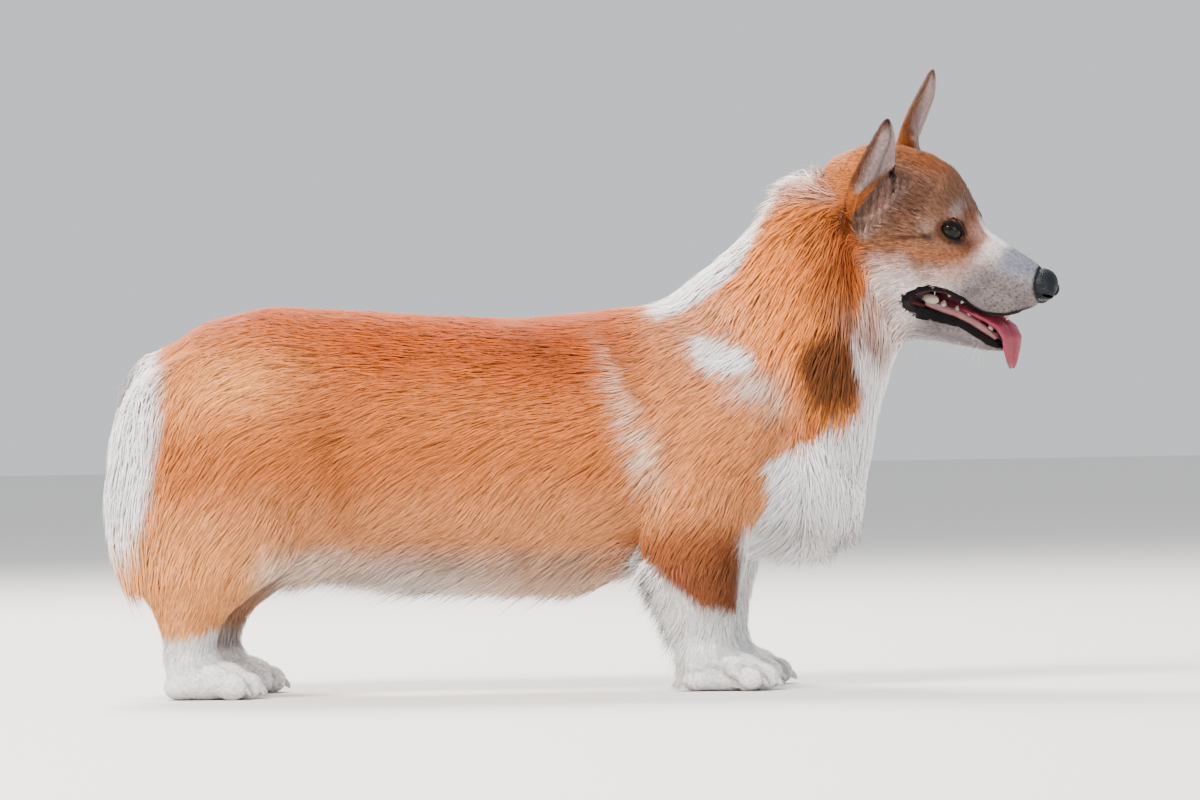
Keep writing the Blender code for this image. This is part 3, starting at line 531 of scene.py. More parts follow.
def blendOf(zone, table):  # the table's base value, turned zone by zone into that zone's own
    value = np.full(len(zone["head"]), float(table["base"]))
    for name, target in table.items():
        if name != "base":
            value += (target - value) * np.clip(zone[name], 0, 1)
    return value


coatDepth = dict(base=4.5, shoulder=5, chest=3, neck=4.5, breech=4, belly=6, leg=3, head=1.8, cheek=3.2,
                 muzzle=1.1, eyeRing=.1, lipEdge=.4, bowl=2.5, ears=.5, paw=1)
hairLength = dict(base=24, shoulder=26, chest=30, neck=30, napeTop=22, breech=37, belly=42, fringe=70, leg=13,
                  feather=27, head=8.5, cheek=14, muzzle=4.5, eyeRing=3.6, bowl=7, ears=7, paw=6, heel=15)
hairWidth = dict(base=.74, shoulder=.85, chest=1.1, neck=.95, breech=1.1, belly=1.1, leg=1.25, head=1.25,
                 cheek=1.3, muzzle=.95, eyeRing=.65, bowl=.8, ears=.85, paw=1.1)
hairLift = dict(base=4.2, shoulder=4.5, chest=13, neck=7.5, napeTop=14, breech=10, belly=7, leg=3.2,
                feather=9, head=1.7, cheek=3, muzzle=.9, eyeRing=.6, ears=1, paw=1, heel=5)
hairHang = dict(base=.12, shoulder=.18, belly=.75, breech=.5, chest=.75, neck=.3, napeTop=.6, head=.06,
                leg=.1, feather=.8, heel=.7)
hairGather = dict(base=1, head=.3, leg=.5, ears=.3)
hairGrain = dict(base=.09, leg=.17, head=.3, muzzle=.24, ears=.2)
hairStray = dict(base=.09, chest=.17, neck=.12, breech=.12, head=.07, napeTop=.18)
hairRelief = dict(base=.35, leg=.85, paw=.8, head=.8, chest=.5, neck=.5)
# how dark each root is painted: painted shade deep in the coat
rootShades = dict(base=.87, leg=.74, paw=.76, head=.74, ears=.8)
darkHairs = dict(base=.06, shoulder=.1, neck=.14, head=.32, muzzle=.45, ears=.06)


def lieOf(p):
    x, y, z = p.T
    side = np.sign(y)
    zone = zones(p)
    lie = np.stack([-np.ones(len(p)), side * 0, -.16 - 1.15 * ramp(z, 225, 95)], 1)

    def toward(weight, vector):
        target = np.stack([part + np.zeros(len(p)) for part in vector], 1)
        lie[:] += (target - lie) * np.clip(weight, 0, 1)[:, None]

    toward(ramp(x, -200, -300) * ramp(z, 285, 255), (-.45, 0, -1))
    toward(zone["breech"], (-.18, side * .12, -1))
    toward(zone["shoulder"], (-.8, side * .1, -.75 - .6 * ramp(z, 200, 120)))
    toward(zone["belly"], (-.7, 0, -1))
    toward(zone["chest"], (.4, side * .22, -1))
    nape = ramp(aheadOf(napeCut, p), -70, -20)  # 1 along the nape, 0 at the throat
    toward(zone["neck"], (.1 - .55 * ramp(x, 200, 165) - .4 * nape, side * .1, -.9 + .25 * nape))
    toward(zone["napeTop"], (-.75, side * .15, .45))
    toward(zone["leg"], (-.28, 0, -1))
    toward(zone["feather"], (-.85, 0, -.7))
    toward(zone["paw"], (.9, 0, -.7))
    toward(zone["heel"], (-.75, 0, -.45))
    q = zone["q"]
    headSide = np.sign(q[:, 1])
    cheek = ramp(q[:, 2], 15, -20) * ramp(q[:, 0], 60, 20)
    local = np.stack([-np.ones(len(p)), headSide * .12, -.1 - .75 * cheek], 1)
    around = q * np.stack([np.ones(len(p)), headSide, np.ones(len(p))], 1) - np.array(eye["centre"])
    near = np.exp(-(around ** 2).sum(1) / 260)
    local[:, 2] += near * .06 * around[:, 2]
    lie = mix(lie, local @ headAxes.T, zone["head"])
    for name, sign in sides.items():
        axis = (earLines(name)[2] * [1, sign, 1]) @ headAxes.T
        lie = mix(lie, axis, np.maximum(zone["ears"], zone["bowl"]) * (headSide == sign))
    return lie


# Markings, and painted shade
def noseReach(q):  # 1 on the nose pad's surface
    return np.sqrt((((q - [122.5, 0, 8.3]) / [11, 14.5, 12.5]) ** 2).sum(1))


def along(line, value):  # the value beside it, read off a line of pairs
    return np.interp(value, *zip(*line))


def insideMouth(q):
    upper = along([(x, top) for x, top, _ in mouthLine], q[:, 0])
    lower = along([(x, low) for x, _, low in mouthLine], q[:, 0])
    half = (upper - lower) / 2
    return np.abs(q[:, 2] - (upper + lower) / 2) / np.maximum(half, 1), (q[:, 0] > 35) & (q[:, 0] < 128), half


palette = {
    "back": (.43, .070, .008), "flank": (.53, .145, .031), "gold": (.78, .31, .115),
    "cream": (.88, .68, .53), "white": (.94, .92, .92), "dark": (.06, .020, .008), "rump": (.92, .36, .11),
    "arm": (.25, .058, .012), "neckGold": (.90, .26, .045), "rust": (.19, .034, .003),
    "sable": (.075, .040, .028), "crown": (.21, .058, .014), "tan": (.42, .15, .065),
    "blush": (.58, .37, .32), "greyWhite": (.55, .52, .53), "muzzle": (.08, .064, .07),
    "bridgeShade": (.08, .11, .18), "belly": (.36, .18, .105), "lip": (.005, .004, .0045),
    "lining": (.08, .022, .026), "earInside": (.38, .27, .255), "black": (.012, .011, .012),
    "foldShadeAndStroke": (.30, .17, .13), "shade": (.22, .15, .12), "temple": (.22, .107, .064)}


tones = {name: np.array(value) for name, value in palette.items()}


def toeSeam(p):  # 1 along the grooves between the toes
    seam = np.zeros(len(p))
    for side, sign in sides.items():
        for paw in paws.values():
            turn = math.radians(sign * paw["turn"])
            x, y = p[:, 0] - paw["x"] - paw["lead"][side], p[:, 1] - sign * paw["y"]
            ahead, across = x * math.cos(turn) + y * math.sin(turn), y * math.cos(turn) - x * math.sin(turn)
            for place in (-11.4, 0, 11.4):
                off = across - place * (1 + .004 * (ahead - 15))
                groove = np.exp(-(off / 1.5) ** 2) * ramp(ahead, 13, 21) * (np.abs(y) < 26)
                seam = np.maximum(seam, groove)
    return seam * ramp(p[:, 2], 22, 16)


# Lines along which the colours change: a place, and the edge there
breechLine = [(60, -330), (90, -326), (140, -308), (200, -298), (250, -300), (262, -300)]
napeLine = [(40, 276), (85, 301), (115, 324), (137, 347), (151, 366), (172, 376)]
bibLine = [(70, 104), (108, 113), (142, 130), (168, 131), (176, 152), (187, 174), (200, 192), (215, 201),
           (234, 194), (250, 188), (262, 192), (285, 204), (305, 224)]
sockLine = [(20, 118), (33, 104), (83, 59), (118, 56)]
cheekLine = [(-40, -40), (-20, -24), (0, -6), (23, 3), (50, 2), (65, 8), (74, 22), (80, 60)]
browPatches = [  # colour, along the head, height, reach each way, strength
    ("tan", 42, 8, 30, 9, .9), ("crown", 40, 6, 20, 5, .5), ("blush", 39, 29, 7, 6, .28),
    ("sable", 50, 45, 8, 6, .6), ("greyWhite", 52, 45, 4, 6, .2)]
eyePatches = [("dark", 66, 23, 5, 5, .75), ("black", 40, 22.5, 4.5, 2, .9), ("black", 60, 23.5, 4.5, 2.4, .9)]


def coatColour(p, n):
    x, y, z = p.T
    side = np.abs(y)
    zone = zones(p)
    head, q = zone["head"], zone["q"]
    u, v, w = q[:, 0], np.abs(q[:, 1]), q[:, 2]
    drift, fine = wander(p, 46, 1), wander(p, 14, 2)
    edge = drift * 4 + fine * 2.5
    colour = np.tile(tones["flank"], (len(p), 1))

    def lay(name, weight):
        colour[:] += (tones[name] - colour) * np.clip(weight, 0, 1)[:, None]

    def spot(x0, z0, rx, rz, tilt=0, ahead=x, up=z):
        c, s = math.cos(math.radians(tilt)), math.sin(math.radians(tilt))
        dx, dz = ahead - x0, up - z0
        return np.exp(-(((dx * c + dz * s) / rx) ** 2 + ((dz * c - dx * s) / rz) ** 2))

    def patch(u0, w0, ru, rw):
        return spot(u0, w0, ru, rw, 0, u, w)

    # trunk
    lay("back", ramp(z + edge, 195, 250) * .8)
    lay("gold", ramp(z + edge * 1.5, 175, 120) * .8)
    lay("rump", spot(-252, 226, 58, 30, 8) * .9)
    # painted shade: a soft dark band in the hollow of the flank before the thigh
    lay("arm", spot(-178, 180, 15, 62, 14) * .4)
    lay("back", spot(-22, 236, 34, 26) * .6 + spot(-160, 250, 90, 16) * .4 + spot(-235, 276, 80, 13) * .9)
    lay("dark", spot(-25, 240, 20, 14) * .22)
    # painted shade in two folds of the coat, on the shoulder and on the back
    coatFoldShade = ramp(spot(36, 226, 8, 34, 22), .3, .8) + ramp(spot(-22, 238, 44, 13, -33), .3, .8)
    lay("arm", coatFoldShade * .42 * ramp(fine, -1.6, 0))
    lay("cream", (spot(30, 205, 8, 38, 20) * .55 + spot(46, 170, 12, 22, 12)) * ramp(fine, -1.3, .5))
    lay("gold", zone["shoulder"] * ramp(z, 120, 150) * .45)
    # lower body: its own tan, deepened with painted shade where the body turns under
    lay("belly", ramp(z + edge, 116, 88) * ramp(x, -225, -195) * .85)
    lay("neckGold", zone["neck"] * .9)
    lay("rust", spot(176, 312, 26, 50) * .7 * ramp(fine, -2.2, -.4))
    lay("rust", spot(190, 306, 11, 36) * ramp(fine, -2.4, -.8))
    lay("blush", zone["napeTop"] * .7)
    lay("cream", spot(95, 262, 34, 34) * .2)
    lay("white", ramp(spot(102, 238, 24, 13, -20) + fine * .06, .3, .6) + spot(123, 216, 16, 9) * .45)
    lay("cream", spot(139, 208, 15, 22) * .4 * ramp(fine, -1, 1))
    lay("dark", ramp(spot(176, 230, 27, 34), .3, .7) * .9 * ramp(fine, -2.4, -.6))
    lay("dark", spot(184, 266, 12, 22, 15) * .4)
    breech = ramp(along(breechLine, z) - x + edge * .8, -8, 9)
    lay("white", breech * ramp(z + edge, 84, 110) * ramp(z, 272, 258))
    # painted shade: a grey-white on the underside of the belly
    lay("greyWhite", spot(-132, 80, 66, 17) * (1 - zone["leg"]) * .9)
    lay("white", spot(-112, 72, 50, 14) * (1 - zone["leg"]) * .8)
    lay("cream", ramp(-n[:, 2], .6, .95) * ramp(z, 120, 95) * .4)
    collar = ramp(z - along(napeLine, x) + along([(60, 32), (120, 29), (148, 14)], x) + edge * .5, 0, 8)
    lay("white", collar * ramp(side, 46, 32) * band(x, 50, 62, 168, 186))
    bib = ramp(x - along(bibLine, z) + edge, -5, 6) * ramp(z, 60, 80)
    lay("white", bib * (1 - head))
    # painted shade: the bib turns greyer lower down, towards the underside
    lay("greyWhite", bib * (1 - head) * ramp(z, 150, 100) * .5)
    lay("blush", bib * spot(204, 284, 28, 42) * (1 - head) * .9)
    lay("tan", bib * spot(208, 266, 18, 30) * .7 * ramp(fine, -1.4, .6))

    # legs
    fore = ramp(x + edge * .5, 28, 37) * ramp(z, 128, 108)
    hind = ramp(x, -196, -215)
    lay("arm", spot(72, 122, 46, 22) * .45 * ramp(fine, -1.6, .4) * (1 - bib))
    lay("arm", fore * .8)
    lay("dark", fore * spot(104, 84, 15, 30) * .5)
    lay("white", fore * ramp(along(sockLine, x) - z + edge * .5, -4, 5))
    lay("white", fore * ramp(side, 52, 40))
    lay("white", fore * zone["foreFront"] * ramp(z, 132, 120))
    lay("rump", ramp(x, -205, -225) * ramp(z, 130, 100) * .6)
    lay("white", hind * ramp(44 + .22 * np.maximum(x + 292, 0) - z + edge * .4, -4, 4))
    lay("cream", band(x, -246, -214, -190, -150) * ramp(z, 118, 92) * .8)
    lay("shade", hind * ramp(z, 104, 86) * ramp(side, 60, 48) * .75)
    lay("white", zone["paw"])
    lay("shade", toeSeam(p) * .7)
    lay("shade", zone["paw"] * ramp(z, 8, 2) * .45)
    lay("dark", ramp(x, -300, -326) * band(z, 196, 216, 236, 250) * ramp(side, 12, 6) * .8)

    # head
    body = colour.copy()
    colour[:] = tones["crown"]
    lay("neckGold", ramp(u, 2, -14) * ramp(w, 76, 50) * .42)
    lay("rust", spot(185, 314, 13, 34) * ramp(u, 8, -4))
    temple = band(u, -12, 2, 52, 70) * band(w, 0, 12, 58, 70)
    lay("temple", temple * .8)
    lay("sable", temple * (.12 + .12 * np.clip(fine, -1, 1)))
    strokes = wander(q * [.3, 1, 1.3], 2.6, 7)
    lay("sable", temple * ramp(strokes, .1, .5) * .6)
    for name, u0, w0, ru, rw, strength in browPatches:
        lay(name, patch(u0, w0, ru, rw) * strength)
    cheek = along(cheekLine, u) - w
    lay("blush", ramp(cheek + fine * 2, -8, 7) * ramp(u, -34, -12))
    lay("white", ramp(cheek - 13 + fine * 3, -9, 9) * (.15 + .4 * ramp(u, -8, 20)))
    # darker strokes of hair on the lower cheek
    lay("foldShadeAndStroke", ramp(strokes, .1, .5) * ramp(cheek + 8, -6, 6) * ramp(u, 60, 30) * .4)
    lay("tan", patch(4, -34, 15, 22) * .6 * ramp(fine, -1.4, .6))
    lay("blush", patch(72, 32, 9, 11) * .55)
    lay("tan", patch(72, 8, 14, 13) * .55 * ramp(fine, -1.6, .8))
    # the side of the muzzle: its own grey-beige, darkened with painted shade
    lay("muzzle", ramp(u - w * .5, 56, 84) * ramp(w, 26, 6) * .85)
    lay("sable", ramp(strokes, .1, .9) * ramp(u, 50, 66) * ramp(w, -20, -8) * .3)
    # painted shade: a dark bluish grey on the top of the muzzle before the nose
    lay("bridgeShade", ramp(u, 82, 96) * ramp(w, 6, 18) * .8)
    lay("white", ramp(v, 8, 4) * band(u, 60, 74, 84, 96) * .8)
    # painted shade: grey-white under the jaw
    lay("greyWhite", ramp(w, -46, -56) * ramp(u, 20, 50) * .6)
    # painted shade in the crease behind the cheek, down from the ear
    seam = np.abs(u - along([(-34, -22), (0, -8), (24, -2)], w))
    lay("dark", ramp(seam, 8, 1.5) * band(w, -40, -16, 14, 30) * .7)
    rows = ramp(np.sin(u * 1.25 + w * .3) * np.sin(w * 1.5 - u * .2), .5, .85)
    lay("sable", rows * band(u, 82, 90, 110, 118) * band(w, -24, -16, 2, 10) * .8)
    around = np.stack([u, v, w], 1) - np.array(eye["centre"])
    gaze = np.array(eye["gaze"]) / np.linalg.norm(eye["gaze"])
    off = around - (around @ gaze)[:, None] * gaze
    lay("dark", ramp(np.linalg.norm(off * [1, 1, 1.6], axis=1), 16, 11.5) * (around @ gaze > 0) * .92)
    for name, u0, w0, ru, rw, strength in eyePatches:
        lay(name, patch(u0, w0, ru, rw) * strength)
    # painted shade in the skin crease behind the eye
    eyeCreaseShade = np.abs(w - along([(18, 15), (34, 21), (44, 26)], u))
    lay("dark", ramp(eyeCreaseShade, 2.6, .8) * band(u, 14, 22, 42, 46) * .6)
    # painted shade in the frown folds of the forehead
    frownFoldShade = np.abs(v - along([(36, 13), (50, 9), (62, 10)], w))
    lay("dark", ramp(frownFoldShade, 2, .6) * band(w, 34, 40, 56, 64) * (u > 30) * .45)
    share, inMouth, half = insideMouth(q)
    lay("lip", inMouth * ramp((share - 1) * half, 6, 3) * ramp(w, -27, -31) * (v > 5))
    lay("lip", inMouth * ramp((share - 1) * half, 3.4, 1.6) * (v > 5))
    lay("lining", inMouth * (share < .99))
    lay("black", ramp(noseReach(q), 1.14, 1.06))
    colour[:] = mix(body, colour, head)
    # painted shade in a crease on the side of the neck
    lay("foldShadeAndStroke", spot(202, 254, 26, 8, -38) * ramp(side, 12, 24) * .9)

    # ears
    earColour = np.tile(tones["tan"], (len(p), 1))
    shares, halves, _ = zip(*ear["profile"])
    for name, sign in sides.items():
        root, tip, axis, facing, square = earLines(name)
        local = q * [1, sign, 1] - root
        up = (local @ axis) / np.linalg.norm(tip - root)
        across = np.abs(local @ square) / np.interp(up, shares, halves)
        here = (q[:, 1] * sign > 0)[:, None]
        # painted shade: the inside of the ear is darker along its middle
        inner = tones["earInside"] * (1 - .45 * ramp(across, .35, 0)[:, None])
        outer = mix(tones["crown"], tones["sable"] * 1.5, ramp(up, .3, .8))
        mixed = mix(outer, inner, ramp(((n @ headAxes) * [1, sign, 1]) @ facing, .1, .45))
        rim = ramp(across, .74, .95) * ramp(up, .15, .4)
        mixed = mix(mixed, tones["dark"], np.maximum(rim * .7, ramp(up, .86, .98)))
        earColour = np.where(here, mixed, earColour)
        # painted shade: the hollow at the ear's root is darker the deeper it lies
        deep = ramp(local @ facing, 5, -2)[:, None] * here
        bowl = tones["foldShadeAndStroke"] * (1 - .55 * deep) * (1 + .35 * np.sin(u * 1.3 + w * .35))[:, None]
        colour += (bowl - colour) * zone["bowl"][:, None] * here
    return mix(colour, earColour, zone["ears"])


# One skin under the whole coat
skinSizes = {"voxel": 1.75, "smoothing": 5, "keep": .44, "floor": .4, "groove": 1.6, "mouthHalf": 62,
             "eyeGap": .25, "eyeOpening": (10.2, 5.2, 8), "eyeAhead": 1.5}


def makeSkin():
    ears = []
    for side in sides:
        ears.append(cut(earShell(side, 0, 0, 0), [earShell(side, ear["wall"], 9, .06)], "EXACT"))
    skin = fuse(bodyForms() + headForms() + ears, "skin", skinSizes["voxel"], skinSizes["smoothing"])
    points, normals = coordinates(skin.data), normalsOf(skin.data)
    points -= normals * blendOf(zones(points), coatDepth)[:, None]
    points -= normals * (toeSeam(points) * skinSizes["groove"])[:, None]
    points[:, 2] = np.maximum(points[:, 2], skinSizes["floor"])
    movePoints(skin.data, points)
    where = zones(points)
    group = skin.vertex_groups.new(name="coarse")
    coarse = np.clip(1 - where["head"] - where["paw"] - where["ears"], 0, 1)
    for level in (0, .5, 1):
        chosen = np.nonzero(np.abs(coarse - level) <= .25)[0]
        group.add([int(i) for i in chosen], level, "REPLACE")
    fewer = skin.modifiers.new("fewer", "DECIMATE")
    fewer.ratio = skinSizes["keep"]
    fewer.vertex_group = "coarse"
    bake(skin)
    half, ahead = skinSizes["mouthHalf"], eye["radius"] + skinSizes["eyeAhead"]
    tools = [loft([(x, top, x, low, 0, half, 0) for x, top, low in mouthLine], 16, headFrame)]
    for sign in sides.values():
        place = eyeFrame(sign)
        for centre, radii in (((0, 0, 0), (eye["radius"] + skinSizes["eyeGap"],) * 3),
                              ((0, .4, ahead), skinSizes["eyeOpening"])):
            tools.append(ball(centre, radii, place=place, detail=(40, 26)))
    cut(skin, tools)
    skin.vertex_groups.clear()
    return finish(skin, "skin")


def unwrap(made):
    made.data.uv_layers.new(name="OFBake")
    bpy.context.view_layer.objects.active = made
    made.select_set(True)
    bpy.ops.object.mode_set(mode="EDIT")
    bpy.ops.mesh.select_all(action="SELECT")
    bpy.ops.uv.smart_project(angle_limit=math.radians(72), island_margin=.001)
    bpy.ops.object.mode_set(mode="OBJECT")
    made.select_set(False)


skin = makeSkin()
print("skin", len(skin.data.polygons), "faces")
unwrap(skin)
print("unwrapped")
mesh = skin.data
skinPoints, skinNormals = coordinates(mesh), normalsOf(mesh)
# painted shade: the skin under the coat is a little darker than the hair
paintPoints(mesh, "coatColour", coatColour(skinPoints, skinNormals) * .95)
skinMesh = bmesh.new()
skinMesh.from_mesh(mesh)
surface = BVHTree.FromBMesh(skinMesh)
skinMesh.free()
mesh.calc_loop_triangles()
triangles = fetch(mesh.loop_triangles, "vertices", 3, np.int32)
corners = fetch(mesh.loop_triangles, "loops", 3, np.int32)
bakeMap = fetch(mesh.uv_layers["OFBake"].data, "uv", 2)
edgeOne, edgeTwo = (skinPoints[triangles[:, k]] - skinPoints[triangles[:, 0]] for k in (1, 2))
areas = np.linalg.norm(np.cross(edgeOne, edgeTwo), axis=1) / 2
centres = skinPoints[triangles].mean(1)
centreZones = zones(centres)


bareSizes = {"lips": 2.2, "across": 64, "nose": 1.08, "eye": (11, 7), "sole": 3}


def bareSkin(p):  # eyelid edges, nose, mouth and the soles grow no hair
    q = toHead(p)
    share, inMouth, half = insideMouth(q)
    bare = inMouth & ((share - 1) * half < bareSizes["lips"]) & (np.abs(q[:, 1]) < bareSizes["across"])
    bare |= noseReach(q) < bareSizes["nose"]
    wide, high = bareSizes["eye"]
    for sign in sides.values():
        place = np.array(eyeFrame(sign).inverted())
        x, y, z = ((p * mm) @ place[:3, :3].T + place[:3, 3]).T / mm
        bare |= ((x / wide) ** 2 + (y / high) ** 2 < 1) & (z > 0)
    return bare | (p[:, 2] < bareSizes["sole"])


bareTriangles = bareSkin(centres)

# Each piece of the coat: how many tufts, their bends, and where they grow
coatPieces = {
    "coatFace": {"count": 27000, "bends": 1, "mask": lambda z, p: z["head"] * (1 - z["ears"])},
    "coatEars": {"count": 13000, "bends": 1, "mask": lambda z, p: z["ears"]},
    "coatNeck": {"count": 11000, "bends": 2, "mask": lambda z, p: z["neck"] * (1 - z["head"])},
    "coatChest": {"count": 8500, "bends": 2, "mask": lambda z, p: z["chest"]},
    "coatShoulders": {"count": 13000, "bends": 2, "mask": lambda z, p: z["shoulder"] * (1 - z["chest"])},
    "coatFlankRight": {"count": 16000, "bends": 2, "mask": lambda z, p: (p[:, 1] < 0) * middle(z, p)},
    "coatFlankLeft": {"count": 16000, "bends": 2, "mask": lambda z, p: (p[:, 1] >= 0) * middle(z, p)},
    "coatRump": {"count": 13500, "bends": 2, "mask": lambda z, p: ramp(p[:, 0], -190, -206) * rest(z)},
    "coatBreeches": {"count": 5500, "bends": 2, "mask": lambda z, p: z["breech"] * (1 - z["leg"])},
    "coatBelly": {"count": 6500, "bends": 2, "mask": lambda z, p: z["belly"]},
    "coatLegs": {"count": 27000, "bends": 1, "mask": lambda z, p: np.maximum(z["leg"], z["paw"])},
    "underFront": {"count": 26000, "bends": 1, "short": .6,
                   "mask": lambda z, p: (z["neck"] + z["chest"] + z["shoulder"]) * (1 - z["head"])},
    "underFlanks": {"count": 28000, "bends": 1, "short": .62, "mask": lambda z, p: middle(z, p)},
    "underRear": {"count": 21000, "bends": 1, "short": .62,
                  "mask": lambda z, p: np.maximum(ramp(p[:, 0], -190, -206) * rest(z), z["breech"])},
}
tuft = {"seed": 40, "sink": 1.2, "wide": .85, "high": .38, "floor": .35, "spot": .0015, "tipTone": 1.08,
        "lengths": .17, "widths": (.7, 1.3), "lifts": (.5, 1.15), "swirl": .16, "swirlSize": 60,
        "clump": 14, "gather": (.1, .5), "reach": 9, "darker": .5}  # one tuft in 14 leads a clump


def rest(z):
    return (1 - z["leg"]) * (1 - z["paw"]) * (1 - z["breech"]) * (1 - z["neck"]) * (1 - z["head"])


def middle(z, p):
    return rest(z) * (1 - z["shoulder"]) * (1 - z["chest"]) * (1 - z["belly"]) * ramp(p[:, 0], -206, -190)


def unit(vectors):
    return vectors / np.maximum(np.linalg.norm(vectors, axis=1), 1e-9)[:, None]


def flatten(vectors, normals):
    return unit(vectors - (vectors * normals).sum(1)[:, None] * normals)


def nearestOn(points):
    found, outward = np.empty_like(points), np.empty_like(points)
    for index, point in enumerate(points):
        found[index], outward[index], _, _ = surface.find_nearest(Vector(point) * mm)
    return found / mm, outward


def growPiece(name, sizes, seed):
    draw = np.random.default_rng(seed)
    weight = areas * np.clip(sizes["mask"](centreZones, centres), 0, 1) * ~bareTriangles
    count = sizes["count"]
    pick = draw.choice(len(areas), count, p=weight / weight.sum())
    a, b = draw.random(count), draw.random(count)
    over = a + b > 1
    a[over], b[over] = 1 - a[over], 1 - b[over]
    share = np.stack([1 - a - b, a, b], 1)[:, :, None]
    roots = (skinPoints[triangles[pick]] * share).sum(1)
    normals = unit((skinNormals[triangles[pick]] * share).sum(1))
    spots = (bakeMap[corners[pick]] * share).sum(1)
    zone = zones(roots)
    short = sizes.get("short", 1)
    length = (blendOf(zone, hairLength) * np.exp(draw.normal(0, tuft["lengths"], count)) * short)[:, None]
    width = blendOf(zone, hairWidth) * draw.uniform(*tuft["widths"], count)
    lift = (blendOf(zone, hairLift) * draw.uniform(*tuft["lifts"], count) * short)[:, None]
    hang = np.clip(blendOf(zone, hairHang), 0, 1)[:, None]
    swirl = np.stack([wander(roots, tuft["swirlSize"], s) for s in (11, 12, 13)], 1) * tuft["swirl"]
    free = unit(lieOf(roots)) + swirl + draw.normal(0, 1, (count, 3)) * blendOf(zone, hairStray)[:, None]
    lie = unit(flatten(free, normals) * (1 - hang * .6) + free * hang * .6)
    # the first half lies along the skin, and the tip follows the flow further on or hangs free
    halfway = roots + lie * (length * .5)
    onward = lie
    if sizes["bends"] > 1:
        near, outward = nearestOn(halfway)
        above = near + outward * (lift * .75)
        halfway = above + (halfway + normals * (lift * .6) - above) * hang
        free = unit(lieOf(halfway)) + swirl + draw.normal(0, .08, (count, 3))
        onward = unit(flatten(free, outward) * (1 - hang) + free * hang)
    tips = halfway + onward * (length * .5)
    near, outward = nearestOn(tips)
    settled = near + outward * lift
    tips = settled + (tips - settled) * hang
    # every tip leans towards the tip of the nearest leading tuft
    leaders = np.arange(0, count, tuft["clump"])
    tree = kdtree.KDTree(len(leaders))
    for order, index in enumerate(leaders):
        tree.insert(roots[index], order)
    tree.balance()
    drift = tips[leaders[[tree.find(point)[1] for point in roots]]] - tips
    gather = draw.uniform(*tuft["gather"], count) * blendOf(zone, hairGather)
    near = np.minimum(1, tuft["reach"] / np.maximum(np.linalg.norm(drift, axis=1), 1e-6))
    tips = tips + drift * (gather * near)[:, None]
    colours = coatColour(roots + lie * (length * .42), normals)
    grain = draw.normal(0, 1, count) * blendOf(zone, hairGrain)
    shade = np.exp(grain)[:, None] * np.exp(draw.normal(0, .02, (count, 3)))
    shade *= (1 + .07 * np.clip(wander(roots, 9, 5), -1, 1))[:, None]
    stray = draw.random(count) < blendOf(zone, darkHairs)  # single dark hairs in the coloured coat
    shade *= (1 - tuft["darker"] * stray * ramp(colours[:, 2], .55, .15))[:, None]
    tone, relief = blendOf(zone, rootShades)[:, None], blendOf(zone, hairRelief)[:, None]
    buildTufts(name, sizes["bends"], [roots - normals * tuft["sink"], halfway, tips], normals, width[:, None],
               colours * shade, spots, tone, relief)


def buildTufts(name, bends, line, normals, width, colours, spots, rootShade, relief):
    count = len(normals)
    rings, turned = [], []
    for centre, way in zip(line[:bends], [line[1] - line[0], line[2] - line[0]]):
        way = unit(way)
        across = unit(np.cross(normals, way))
        up = np.cross(way, across)
        out = across * (width * tuft["wide"] / 2)
        rings += [centre - out, centre + out, centre + up * (width * tuft["wide"] * tuft["high"])]
        turned += [normals - across * relief, normals + across * relief, normals + up * relief]
    verts = np.stack(rings + [line[2]], 1)
    each = verts.shape[1]
    verts[:, :, 2] = np.maximum(verts[:, :, 2], tuft["floor"])
    edges = ((0, 1), (1, 2), (2, 0))
    faces = [(0, 2, 1)]
    for k in range(0, bends * 3 - 3, 3):
        for i, j in edges:
            faces += [(k + i, k + j, k + 3 + j), (k + i, k + 3 + j, k + 3 + i)]
    faces += [(each - 4 + i, each - 4 + j, each - 1) for i, j in edges]
    index = np.array(faces, np.int32)[None] + (np.arange(count) * each)[:, None, None]
    index = index.reshape(-1, 3).astype(np.int32)
    mesh = bpy.data.meshes.new(name)
    mesh.vertices.add(count * each)
    movePoints(mesh, verts)
    mesh.loops.add(index.size)
    mesh.loops.foreach_set("vertex_index", index.ravel())
    mesh.polygons.add(len(index))
    mesh.polygons.foreach_set("loop_start", np.arange(0, index.size, 3, dtype=np.int32))
    mesh.update(calc_edges=True)
    mesh.shade_smooth()
    mesh.normals_split_custom_set_from_vertices(unit(np.stack(turned + [normals], 1).reshape(-1, 3)))
    # along the tuft: darker at the root as painted shade deep in the coat, paler at the tip
    tone = [rootShade] * 3 + [np.ones((count, 3))] * (bends - 1) + [np.full((count, 1), tuft["tipTone"])]
    paintPoints(mesh, "coatColour", (colours[:, None, :] * np.hstack(tone)[:, :, None]).reshape(-1, 3))
    spot = tuft["spot"]
    offsets = [(-spot, 0), (spot, 0), (0, spot / 2)] * bends + [(0, spot)]
    offsets = np.array(offsets) + [[0, spot * (i // 3) * .5 - spot] for i in range(each)]
    layout = (spots[:, None, :] + offsets[None]).reshape(-1, 2)
    layer = mesh.uv_layers.new(name="OFBake")
    layer.data.foreach_set("uv", layout[index.ravel()].astype(np.float32).ravel())
    mesh.materials.append(finishes["coat"])
    settle(addThing(name, mesh))
    print(name, count, "tufts")


for order, (name, sizes) in enumerate(coatPieces.items()):
    growPiece(name, sizes, tuft["seed"] + order)

settle(skin, ["torso", "neck", "head", "lower_jaw", "ear_left", "ear_right", "foreleg_left",
                          "foreleg_right", "hindleg_left", "hindleg_right", "forepaw_left", "forepaw_right",
                          "hindpaw_left", "hindpaw_right", "tail"])


